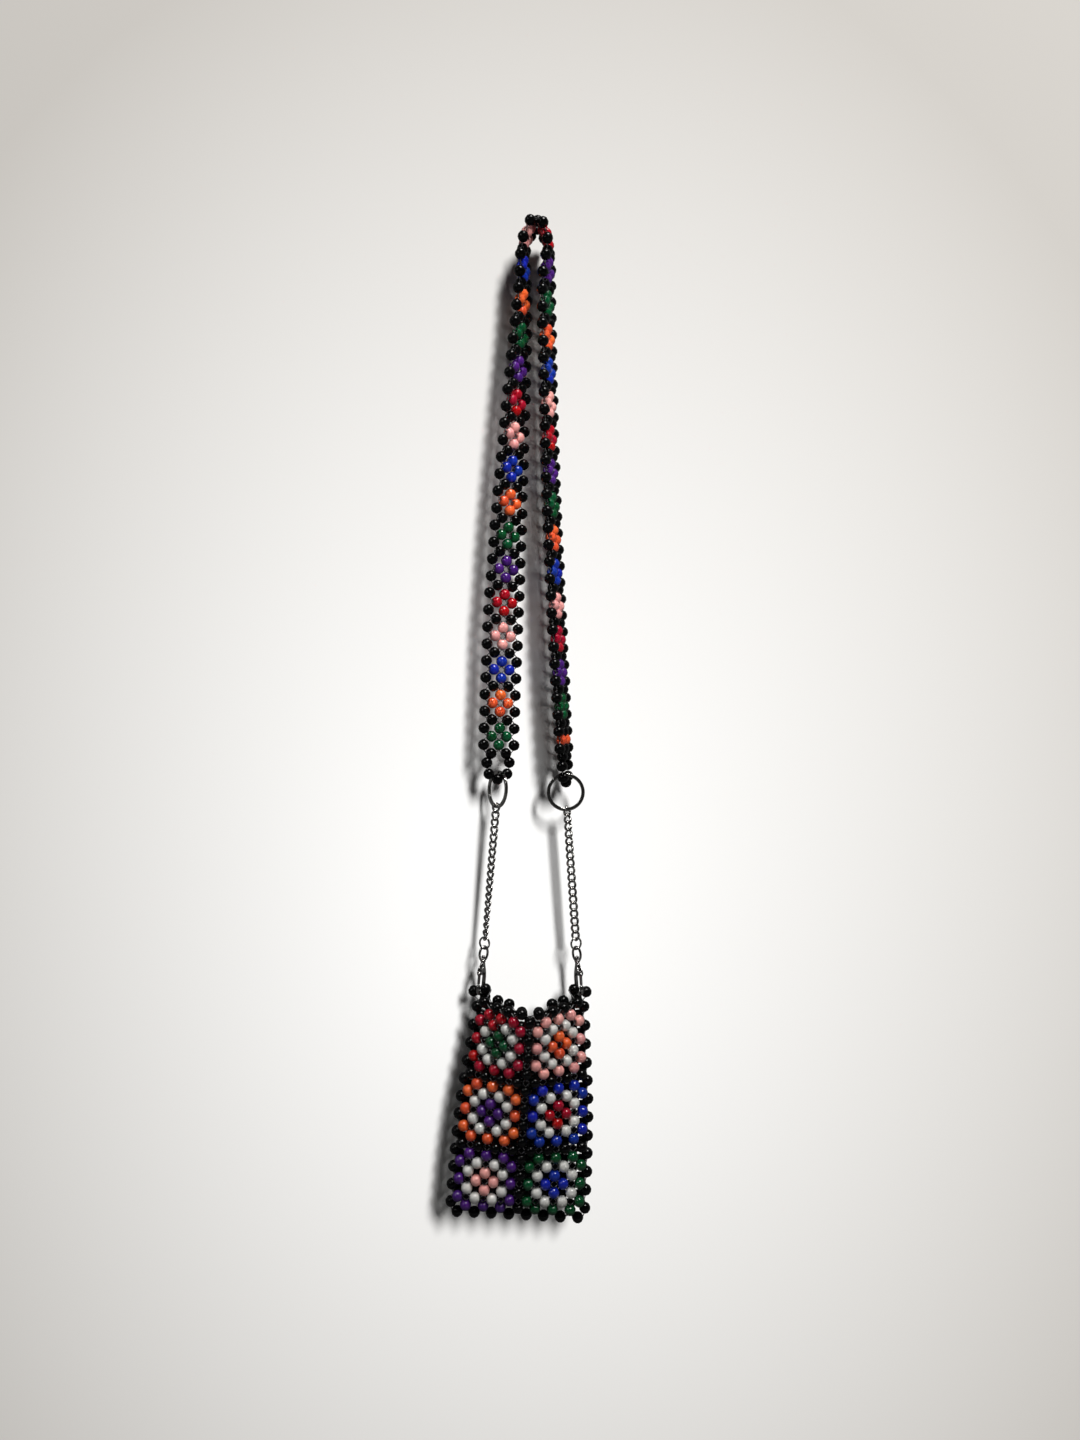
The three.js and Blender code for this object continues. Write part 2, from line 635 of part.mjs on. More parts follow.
// The lever closes the hook and pivots on the claw's pin; its outer tab is pushed down to open it
function leverGeometry() {
  const shape = new THREE.Shape();
  shape.moveTo(HOOK_INNER + 0.1, LEVER_TIP);
  shape.lineTo(HOOK_OUTER - 0.2, LEVER_TIP);
  shape.lineTo(HOOK_OUTER - 0.2, HUB.up - 2);
  shape.lineTo(HOOK_OUTER + 1.6, HUB.up - 1.2);
  shape.lineTo(HOOK_OUTER + 1.6, HUB.up);
  shape.absarc(HUB.out, HUB.up, HUB.radius, 0.15 * Math.PI, 1.2 * Math.PI, false);
  shape.lineTo(HOOK_INNER + 0.1, HUB.up - 2.6);
  shape.closePath();
  const bore = new THREE.Path().absarc(HUB.out, HUB.up, HUB_BORE, 0, 2 * Math.PI, true);
  shape.holes.push(bore);
  return plate(shape, -LEVER_HALF_THICK, LEVER_HALF_THICK);
}

// Everything that hangs on one side, in a group whose +Z runs from the thread up to the split ring
function hangingSide(side, ringMiddle) {
  const grip = new THREE.Vector3(...side.grip);
  const line = ringMiddle.clone().sub(grip);
  const span = line.length();
  const up = line.clone().normalize();
  const right = new THREE.Vector3(1, 0, 0).addScaledVector(up, -up.x).normalize();
  const group = new THREE.Group();
  group.position.copy(grip);
  group.quaternion.setFromRotationMatrix(new THREE.Matrix4().makeBasis(right, up.clone().cross(right), up));
  const chainTop = span - RING_RADIUS + RING_HALF_DEEP + CLEARANCE;
  const pieces = [
    { name: 'split_ring', geometry: splitRingGeometry(), height: span, turn: side.ring },
    {
      name: 'chain',
      geometry: chainGeometry(CHAIN_BOTTOM, chainTop, side.ring, side.jump),
      height: 0,
      turn: 0,
    },
    { name: 'jump_ring', geometry: jumpRingGeometry(), height: JUMP_MIDDLE, turn: side.jump },
    { name: 'clasp_eye', geometry: eyeGeometry(), height: 0, turn: side.eye },
    { name: 'clasp_claw', geometry: clawGeometry(), height: 0, turn: side.claw },
    { name: 'clasp_lever', geometry: leverGeometry(), height: 0, turn: side.claw },
  ];
  for (const { name, geometry, height, turn } of pieces) {
    const mesh = namedMesh(`${side.name}_${name}`, geometry, nickel);
    mesh.position.z = height;
    mesh.rotation.z = turn * DEGREE;
    group.add(mesh);
  }
  const clawTurn = side.claw * DEGREE;
  const across = new THREE.Vector3(-Math.sin(clawTurn), Math.cos(clawTurn), 0).applyQuaternion(group.quaternion);
  return { group, across };
}

// Assembly
const bag = new THREE.Group();
bag.add(namedMesh('strap', strapGeometry(), blackBead));
bag.add(namedMesh('pouch', pouchGeometry(), blackBead));
for (const side of SIDES) {
  const loop = strapLoop(side.way < 0 ? 0 : STRAP_ROWS);
  bag.add(namedMesh(`${side.name}_strap_loop`, loop.geometry, blackBead));
  const drop = RING_RADIUS - RING_HALF_DEEP - BEAD_RADIUS - CLEARANCE;
  const ringMiddle = loop.lowest.clone().addScaledVector(UP, -drop);
  const { group, across } = hangingSide(side, ringMiddle);
  bag.add(group);
  bag.add(namedMesh(`${side.name}_corner_loop`, cornerLoop(side, across), blackBead));
}

export default bag;
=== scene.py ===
"""Beaded phone bag: a woven pouch on a woven strap, with split rings, curb chains and swivel clasps.

Metres, +Z up. The origin is where the strap lies over whatever holds the bag up, and the front faces -Y.
"""

import logging
from dataclasses import dataclass, field
from enum import Enum

import bpy
import numpy as np
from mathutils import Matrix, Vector

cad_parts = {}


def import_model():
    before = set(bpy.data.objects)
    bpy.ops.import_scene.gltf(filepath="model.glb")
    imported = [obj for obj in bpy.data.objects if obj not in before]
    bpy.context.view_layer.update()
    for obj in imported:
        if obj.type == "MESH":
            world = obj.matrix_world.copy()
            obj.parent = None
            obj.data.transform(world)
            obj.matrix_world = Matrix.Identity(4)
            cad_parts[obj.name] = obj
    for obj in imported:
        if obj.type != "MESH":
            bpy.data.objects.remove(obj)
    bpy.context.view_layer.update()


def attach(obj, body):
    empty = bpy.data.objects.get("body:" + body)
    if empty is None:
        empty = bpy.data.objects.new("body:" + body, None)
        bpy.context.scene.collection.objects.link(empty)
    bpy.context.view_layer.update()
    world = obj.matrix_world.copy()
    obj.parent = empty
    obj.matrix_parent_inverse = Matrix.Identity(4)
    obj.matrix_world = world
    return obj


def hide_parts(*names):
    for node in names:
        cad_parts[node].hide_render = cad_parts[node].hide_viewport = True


LOG = logging.getLogger("beaded_bag")
MM = 0.001
RIGHT, BACK, UP = np.eye(3)
BAG_BODY = "bag"
STRAP_SEED = 11
LOOP_SEED = 21
POUCH_SEED = 31
CORNER_SEED = 51
THIN_END = 0.7
NUMBER = "NodeSocketFloat"
COLOUR = "NodeSocketColor"
CLOUD_RANGE = (0.38, 0.68)
# Reach along the hole and colour value of the painted shade about a bead's hole.
HOLE_SHADE_REACH = (0.86, 0.98)
HOLE_SHADE_VALUE = (1.0, 0.45)
SEAM_REACH = (0.015, 0.05)
HUE_SPREAD = 0.012
Triple = tuple[float, float, float]
Pair = tuple[float, float]
Socket = bpy.types.NodeSocket
Material = bpy.types.Material


def unit(vectors: np.ndarray) -> np.ndarray:
    """Return vectors divided by their own length, along the last axis."""
    return vectors / np.linalg.norm(vectors, axis=-1, keepdims=True)


def across(vectors: np.ndarray, along: np.ndarray) -> np.ndarray:
    """Return unit vectors with their share along another unit vector taken out."""
    share = np.sum(vectors * along, axis=-1, keepdims=True)
    return unit(vectors - share * along)


def turns(count: int) -> np.ndarray:
    """Return angles that go evenly once round."""
    return np.linspace(0, 2 * np.pi, count, endpoint=False)


def circle(angle: np.ndarray) -> np.ndarray:
    """Return the cosine and sine of angles as pairs."""
    return np.stack([np.cos(angle), np.sin(angle)], axis=-1)


def upright(out: np.ndarray | float, up: np.ndarray | float, deep: np.ndarray | float = 0.0) -> np.ndarray:
    """Return points of a metal piece's own frame: out along X, deep along Y and up along Z."""
    return np.stack(np.broadcast_arrays(out, deep, up), axis=-1)


def lattice(*ranges: np.ndarray) -> list[np.ndarray]:
    """Return every combination of the ranges' numbers, as one flat array for each range."""
    return [part.ravel() for part in np.meshgrid(*ranges, indexing="ij")]


def linear(red: int, green: int, blue: int) -> Triple:
    """Return a screen colour's linear values: share of 255 plus 0.055, over 1.055, to the power 2.4."""
    values = ((np.array([red, green, blue]) / 255 + 0.055) / 1.055) ** 2.4
    return float(values[0]), float(values[1]), float(values[2])


def cubic(
    t: np.ndarray, start: np.ndarray, end: np.ndarray, start_slope: np.ndarray, end_slope: np.ndarray
) -> np.ndarray:
    """Return the cubic that leaves one value and meets another, with a given slope at each.

    Args:
        t: How far along, from 0 to 1.
        start: The first values.
        end: The last values.
        start_slope: Slopes at the first values.
        end_slope: Slopes at the last values.

    Returns:
        The values between.
    """
    return (
        (2 * t**3 - 3 * t**2 + 1) * start
        + (t**3 - 2 * t**2 + t) * start_slope
        + (3 * t**2 - 2 * t**3) * end
        + (t**3 - t**2) * end_slope
    )


def flowing(stops: np.ndarray, count: int) -> np.ndarray:
    """Draw a smooth curve through stops.

    Between two stops the curve is the cubic whose slope at each stop is half the step from the one before to
    the one after, sampled evenly.

    Args:
        stops: Points that the curve goes through.
        count: How many samples.

    Returns:
        The samples.
    """
    t = np.linspace(0, len(stops) - 1, count)
    i = np.minimum(t.astype(int), len(stops) - 2)
    slopes = np.gradient(stops, axis=0)
    return cubic((t - i)[:, None], stops[i], stops[i + 1], slopes[i], slopes[i + 1])


def quad_net(rows: int, columns: int, closed: bool) -> np.ndarray:
    """Join the points of a grid into quads.

    Point (i, j) has number i times columns plus j. A quad joins rows i and i + 1 and columns j and j + 1, and
    the columns always wrap round.

    Args:
        rows: How many rows of points.
        columns: How many points in a row.
        closed: Whether the last row joins the first.

    Returns:
        Quads, four point numbers each.
    """
    i = np.arange(rows if closed else rows - 1)[:, None]
    j = np.arange(columns)[None, :]
    down = (i + 1) % rows
    turn = (j + 1) % columns
    corners = (i * columns + j, i * columns + turn, down * columns + turn, down * columns + j)
    return np.stack(np.broadcast_arrays(*corners), axis=-1).reshape(-1, 4)


def copies(net: np.ndarray, count: int, size: int) -> np.ndarray:
    """Return the faces of many equal shapes, each one's point numbers moved on by the size of a shape."""
    return (net + (np.arange(count) * size)[:, None, None]).reshape(-1, net.shape[1])


@dataclass
class Surface:
    """Points and faces of one shape, with values at its points and a finish number for each face."""

    points: np.ndarray
    faces: list[np.ndarray]
    finish: list[np.ndarray]
    marks: dict[str, np.ndarray] = field(default_factory=dict)

    @staticmethod
    def plain(points: np.ndarray, faces: list[np.ndarray]) -> "Surface":
        """Return a surface with the first finish on every face."""
        return Surface(points.reshape(-1, 3), faces, [np.zeros(len(net), dtype=int) for net in faces])

    @staticmethod
    def joined(parts: list["Surface"]) -> "Surface":
        """Put several surfaces into one, with each one's point numbers moved past those before it.

        Args:
            parts: The surfaces.

        Returns:
            One surface.
        """
        starts = np.cumsum([0] + [len(part.points) for part in parts])
        points = np.concatenate([part.points for part in parts])
        faces = [net + start for part, start in zip(parts, starts) for net in part.faces]
        finish = [values for part in parts for values in part.finish]
        marks = {
            name: np.concatenate([part.marks[name] for part in parts])
            for name in parts[0].marks
        }
        return Surface(points, faces, finish, marks)


def skin(points: np.ndarray, closed: bool = False) -> Surface:
    """Cover rows of points with quads, each row a ring.

    Args:
        points: The rows.
        closed: Whether the last row joins the first; otherwise both get a flat cap.

    Returns:
        The surface.
    """
    rows, sides = points.shape[:2]
    faces = [quad_net(rows, sides, closed)]
    if not closed:
        faces.append(np.arange(sides)[None, ::-1])
        faces.append(np.arange(sides)[None, :] + (rows - 1) * sides)
    return Surface.plain(points, faces)


def carried(path: np.ndarray, out: np.ndarray, section: np.ndarray, closed: bool) -> Surface:
    """Carry a profile along a path.

    A point is the path's point, plus the profile's first number times the outward vector, plus its second
    number times the sideways vector, which is the path's direction crossed with the outward one.

    Args:
        path: Points of the path.
        out: A vector at each of them, turned square to the path.
        section: The profile, as one pair for each side or one set of pairs for each point of the path.
        closed: Whether the path ends where it starts.

    Returns:
        The surface.
    """
    if closed:
        along = unit(np.roll(path, -1, axis=0) - np.roll(path, 1, axis=0))
    else:
        along = unit(np.gradient(path, axis=0))
    out = across(np.broadcast_to(out, path.shape), along)
    side = np.cross(along, out)
    section = np.broadcast_to(section, (len(path),) + section.shape[-2:])
    points = path[:, None] + out[:, None] * section[..., :1] + side[:, None] * section[..., 1:]
    return skin(points, closed)


def round_section(radius: float, sides: int, flat: float = 1.0) -> np.ndarray:
    """Return an oval profile: radius times cosine outwards, and flat times radius times sine sideways."""
    return radius * (circle(turns(sides)) * np.array([1.0, flat]))


def soft_box_section(half_out: float, half_side: float, sides: int, power: float) -> np.ndarray:
    """Return a box with round corners: signed cosine and sine to a power below one, times the halves."""
    wave = circle(turns(sides))
    return np.sign(wave) * np.abs(wave) ** power * np.array([half_out, half_side])


def turned(pairs: np.ndarray, sides: int) -> Surface:
    """Turn pairs of radius and height about Z: radius times cosine and sine of an angle, at the height."""
    ring = np.pad(circle(turns(sides)), ((0, 0), (0, 1)))
    return skin(pairs[:, None, 1:] * UP + pairs[:, None, :1] * ring)


def ball_pairs(radius: float, height: float, rows: int, tip: float = 0.12) -> np.ndarray:
    """Return a ball's profile: radius times sine, and height minus radius times cosine, of a polar angle."""
    polar = np.linspace(tip, np.pi - tip, rows)
    return np.stack([radius * np.sin(polar), height - radius * np.cos(polar)], axis=-1)


def lofted(outer: np.ndarray, inner: np.ndarray, half_thick: float, power: float, sides: int) -> Surface:
    """Fill the space between two outlines with a bar that has round edges and thinner ends.

    Outlines are pairs of distance out from the hanging line and height up it. A section lies half way between
    the outlines, reaches from one to the other along a signed cosine raised to a power, and has its thickness
    across them along the sine raised to the same power.

    Args:
        outer: One outline.
        inner: The other, with as many points.
        half_thick: Half the thickness.
        power: How square the section is, from 0 to 1.
        sides: How many points in a section.

    Returns:
        The surface, in the clasp's own frame.
    """
    outer, inner = upright(*outer.T), upright(*inner.T)
    middle, half = (outer + inner) / 2, (outer - inner) / 2
    thick = unit(np.cross(np.gradient(middle, axis=0), half)) * half_thick
    thick[[0, -1]] *= THIN_END
    wave = soft_box_section(1.0, 1.0, sides, power)
    return skin(middle[:, None] + half[:, None] * wave[:, :1] + thick[:, None] * wave[:, 1:])


def add_piece(name: str, surface: Surface, finishes: list[Material], body: str) -> bpy.types.Object:
    """Make a smooth mesh object of a surface in millimetres, and let it ride on a body.

    Args:
        name: The piece's name.
        surface: Its shape.
        finishes: Its materials, in the order of the finish numbers.
        body: The body that it moves with.

    Returns:
        The new object.
    """
    mesh = bpy.data.meshes.new(name)
    polygons = [face for net in surface.faces for face in net.tolist()]
    mesh.from_pydata((surface.points * MM).tolist(), [], polygons)
    for material in finishes:
        mesh.materials.append(material)
    mesh.polygons.foreach_set("material_index", np.concatenate(surface.finish).astype(np.int32))
    mesh.polygons.foreach_set("use_smooth", np.ones(len(polygons), dtype=bool))
    for label, values in surface.marks.items():
        attribute = mesh.attributes.new(label, "FLOAT", "POINT")
        attribute.data.foreach_set("value", values.astype(np.float32))
    mesh.update()
    piece = bpy.data.objects.new(name, mesh)
    bpy.context.scene.collection.objects.link(piece)
    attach(piece, body)
    LOG.info("%s: %d faces on %s", name, len(polygons), body)
    return piece


class NodeSheet:
    """A node tree with short ways to add nodes and to join them."""

    def __init__(self, tree: bpy.types.NodeTree) -> None:
        """Keep the tree."""
        self.tree = tree

    def fill(self, node: bpy.types.Node, values: dict[str | int, object]) -> None:
        """Give inputs of a node their values.

        Args:
            node: The node.
            values: For each socket name or number an output to link, a number, a vector or a colour.
        """
        for label, value in values.items():
            socket = node.inputs[label]
            if isinstance(value, Socket):
                self.tree.links.new(value, socket)
            elif socket.type == "RGBA":
                socket.default_value = (*value, 1.0)
            else:
                socket.default_value = value

    def add(
        self, kind: str, values: dict[str | int, object] | None = None, **settings: object
    ) -> bpy.types.Node:
        """Add a node.

        Args:
            kind: The node's type name.
            values: Its inputs, as for fill.
            **settings: The node's own settings.

        Returns:
            The node.
        """
        node = self.tree.nodes.new(kind)
        for label, value in settings.items():
            setattr(node, label, value)
        self.fill(node, values or {})
        return node

    def math(self, operation: str, *terms: object) -> Socket:
        """Add one step of arithmetic on outputs and numbers, and return its output."""
        return self.add("ShaderNodeMath", dict(enumerate(terms)), operation=operation).outputs[0]

    def spread(self, value: Socket, old: Pair, new: tuple[object, object]) -> Socket:
        """Map a value from one range to another, held at both ends, and return the output."""
        return self.add("ShaderNodeMapRange", dict(enumerate((value, *old, *new))), clamp=True).outputs[0]

    def tint(self, share: Socket, first: object, second: object) -> Socket:
        """Go from one colour to another by a share, and return the output."""
        return self.add("ShaderNodeMix", {0: share, 6: first, 7: second}, data_type="RGBA").outputs[2]

    def bump(self, size: Pair, height: Socket, *below: Socket) -> Socket:
        """Add a bump of a strength and a distance over any normal below it, and return its normal."""
        values = {"Strength": size[0], "Distance": size[1], "Height": height}
        return self.add("ShaderNodeBump", values | {"Normal": normal for normal in below}).outputs["Normal"]


def new_group(
    name: str, inputs: dict[str, tuple[str, object]], outputs: dict[str, str]
) -> tuple[NodeSheet, bpy.types.NodeOutputs, bpy.types.Node]:
    """Start a shader node group with named sockets.

    Args:
        name: The group's name.
        inputs: Socket type and first value of each input.
        outputs: Socket type of each output.

    Returns:
        The sheet of the group's tree, what comes in, and the node that takes what goes out.
    """
    tree = bpy.data.node_groups.new(name, "ShaderNodeTree")
    for label, (kind, value) in inputs.items():
        socket = tree.interface.new_socket(label, in_out="INPUT", socket_type=kind)
        socket.default_value = value
    for label, kind in outputs.items():
        tree.interface.new_socket(label, in_out="OUTPUT", socket_type=kind)
    sheet = NodeSheet(tree)
    return sheet, sheet.add("NodeGroupInput").outputs, sheet.add("NodeGroupOutput")


def new_material(name: str) -> tuple[Material, NodeSheet, bpy.types.Node]:
    """Start a material, and return it with its node sheet and its shader.

    Args:
        name: The material's name.

    Returns:
        The material, its sheet and its Principled shader.
    """
    material = bpy.data.materials.new(name)
    material.use_nodes = True
    sheet = NodeSheet(material.node_tree)
    return material, sheet, material.node_tree.nodes["Principled BSDF"]


def handling_marks() -> bpy.types.NodeTree:
    """Build the group for wear from handling: cloudy smears and fine specks, as a roughness and a height.

    Returns:
        The group's tree.
    """
    inputs = {"Scale": (NUMBER, 60.0), "Low": (NUMBER, 0.1), "High": (NUMBER, 0.3), "Specks": (NUMBER, 900.0)}
    outputs = {"Roughness": NUMBER, "Height": NUMBER, "Mask": NUMBER}
    sheet, start, end = new_group("handling_marks", inputs, outputs)
    place = sheet.add("ShaderNodeTexCoord").outputs["Object"]
    cloud, specks = (
        sheet.add("ShaderNodeTexNoise", {
            "Vector": place, "Scale": start[label], "Detail": detail, "Roughness": rough,
        }).outputs["Fac"]
        for label, detail, rough in (("Scale", 5.0, 0.62), ("Specks", 2.0, 0.5))
    )
    mask = sheet.spread(cloud, CLOUD_RANGE, (0.0, 1.0))
    rough = sheet.spread(mask, (0.0, 1.0), (start["Low"], start["High"]))
    sheet.fill(end, {"Roughness": rough, "Height": specks, "Mask": mask})
    return sheet.tree


def bead_face() -> bpy.types.NodeTree:
    """Build the group for a moulded bead: a tone of its own, painted shade darkening it about the hole, and a
    seam.

    Returns:
        The group's tree.
    """
    inputs = {"Colour": (COLOUR, (0.5, 0.5, 0.5, 1.0)), "Spread": (NUMBER, 0.2)}
    sheet, start, end = new_group("bead_face", inputs, {"Colour": COLOUR, "Seam": NUMBER})
    tone, reach = (
        sheet.add("ShaderNodeAttribute", attribute_name=label).outputs["Fac"] for label in ("tone", "reach")
    )
    away = sheet.math("ABSOLUTE", reach)
    middle = sheet.math("SUBTRACT", tone, 0.5)
    lift = sheet.math("MULTIPLY_ADD", middle, start["Spread"], 1.0)
    # Painted shade: the colour darkens towards the hole's mouth, where the bead lies in shade.
    hole_shade = sheet.spread(away, HOLE_SHADE_REACH, HOLE_SHADE_VALUE)
    tinted = sheet.add("ShaderNodeHueSaturation", {
        "Hue": sheet.math("MULTIPLY_ADD", middle, HUE_SPREAD, 0.5),
        "Value": sheet.math("MULTIPLY", lift, hole_shade),
        "Color": start["Colour"],
    })
    seam = sheet.spread(away, SEAM_REACH, (1.0, 0.0))
    sheet.fill(end, {"Colour": tinted.outputs["Color"], "Seam": seam})
    return sheet.tree


@dataclass(frozen=True)
class SharedEffects:
    """The node groups that several finishes use."""

    marks: bpy.types.NodeTree
    bead: bpy.types.NodeTree

    def worn(self, sheet: NodeSheet, clouds: float, rough: Pair, grain: float) -> bpy.types.NodeOutputs:
        """Add wear with scales of smears and specks and a range of roughness, and return its outputs."""
        values = {"Scale": clouds, "Low": rough[0], "High": rough[1], "Specks": grain}
        return sheet.add("ShaderNodeGroup", values, node_tree=self.marks).outputs


@dataclass(frozen=True)
class BeadFinish:
    """One colour of glossy moulded bead, with its own spread of tones and refractive index."""

    name: str
    colour: Triple
    rough: Pair = (0.1, 0.18)
    spread: float = 0.22
    bend: float = 1.75
    clouds: float = 110.0
    grain: float = 1400.0
    seam_bump: Pair = (0.25, 0.00012)
    grain_bump: Pair = (0.05, 0.00015)

    def material(self, effects: SharedEffects) -> Material:
        """Build the material.

        Args:
            effects: The shared node groups.

        Returns:
            The material.
        """
        material, sheet, shader = new_material(self.name)
        tones = {"Colour": self.colour, "Spread": self.spread}
        face = sheet.add("ShaderNodeGroup", tones, node_tree=effects.bead).outputs
        marks = effects.worn(sheet, self.clouds, self.rough, self.grain)
        seam = sheet.bump(self.seam_bump, face["Seam"])
        sheet.fill(shader, {
            "IOR": self.bend,
            "Base Color": face["Colour"],
            "Roughness": marks["Roughness"],
            "Normal": sheet.bump(self.grain_bump, marks["Height"], seam),
        })
        return material


@dataclass(frozen=True)
class NickelFinish:
    """Bright nickel plate with a few duller patches."""

    name: str
    bright: Triple
    dull: Triple
    rough: Pair
    clouds: float
    grain: float = 2200.0
    grain_bump: Pair = (0.08, 0.0001)

    def material(self, effects: SharedEffects) -> Material:
        """Build the material.

        Args:
            effects: The shared node groups.

        Returns:
            The material.
        """
        material, sheet, shader = new_material(self.name)
        marks = effects.worn(sheet, self.clouds, self.rough, self.grain)
        sheet.fill(shader, {
            "Metallic": 1.0,
            "Base Color": sheet.tint(marks["Mask"], self.bright, self.dull),
            "Roughness": marks["Roughness"],
            "Normal": sheet.bump(self.grain_bump, marks["Height"]),
        })
        return material


@dataclass(frozen=True)
class ThreadFinish:
    """Clear nylon thread, painted dark as shade in the gaps it fills, with cloudy patches partly milky and
    partly painted sheen.
    """

    name: str
    clear: Triple
    milky_and_sheen: Triple
    rough: Pair = (0.18, 0.4)
    bend: float = 1.53
    clouds: float = 240.0
    grain: float = 1800.0

    def material(self, effects: SharedEffects) -> Material:
        """Build the material.

        Args:
            effects: The shared node groups.

        Returns:
            The material.
        """
        material, sheet, shader = new_material(self.name)
        marks = effects.worn(sheet, self.clouds, self.rough, self.grain)
        sheet.fill(shader, {
            "IOR": self.bend,
            # Painted shade and sheen: the dark base stands for shade in the gaps, and the lighter patches are
            # partly painted sheen.
            "Base Color": sheet.tint(marks["Mask"], self.clear, self.milky_and_sheen),
            "Roughness": marks["Roughness"],
        })
        return material


class BeadColour(Enum):
    """The bead colours, numbered as the materials of a beaded piece are."""

    BLACK = 0
    WHITE = 1
    PINK = 2
    ORANGE = 3
    RED = 4
    BLUE = 5
    GREEN = 6
    PURPLE = 7


BEAD_FINISHES = {
    BeadColour.BLACK: BeadFinish("bead_black", linear(4, 4, 5), spread=0.5, bend=1.4),
    BeadColour.WHITE: BeadFinish("bead_white", linear(226, 226, 222), spread=0.08),
    BeadColour.PINK: BeadFinish("bead_pink", linear(246, 168, 164)),
    BeadColour.ORANGE: BeadFinish("bead_orange", linear(242, 98, 50)),
    BeadColour.RED: BeadFinish("bead_red", linear(176, 14, 36)),
    BeadColour.BLUE: BeadFinish("bead_blue", linear(20, 46, 168)),
    BeadColour.GREEN: BeadFinish("bead_green", linear(8, 78, 42)),
    BeadColour.PURPLE: BeadFinish("bead_purple", linear(74, 30, 122)),
}
NICKEL_WIRE = NickelFinish("nickel_wire", (0.72, 0.71, 0.69), (0.5, 0.49, 0.48), (0.06, 0.2), 160.0)
NICKEL_CAST = NickelFinish("nickel_cast", (0.68, 0.67, 0.66), (0.44, 0.43, 0.43), (0.08, 0.26), 240.0)
# The thread's dark colour is painted shade for the gaps it fills.
NYLON = ThreadFinish("nylon_thread", (0.1, 0.1, 0.11), (0.24, 0.24, 0.24))


@dataclass
class Palette:
    """The finished materials."""

    beads: list[Material]
    wire: Material
    cast: Material
    nylon: Material

    @staticmethod
    def mixed() -> "Palette":
        """Build every material of the bag.

        Returns:
            The palette.
        """
        effects = SharedEffects(handling_marks(), bead_face())
        beads = [BEAD_FINISHES[colour].material(effects) for colour in BeadColour]
        return Palette(beads, *(finish.material(effects) for finish in (NICKEL_WIRE, NICKEL_CAST, NYLON)))

    def add_woven(self, node: str, beads: Surface, thread: Surface) -> None:
        """Make the beads that stand for a node of the bag, and the thread that holds them.

        Args:
            node: The node's name.
            beads: All its beads.
            thread: All its thread.
        """
        piece = add_piece(f"{node}_beads", beads, self.beads, BAG_BODY)
        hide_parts(node)
        add_piece(f"{node}_thread", thread, [self.nylon], BAG_BODY)


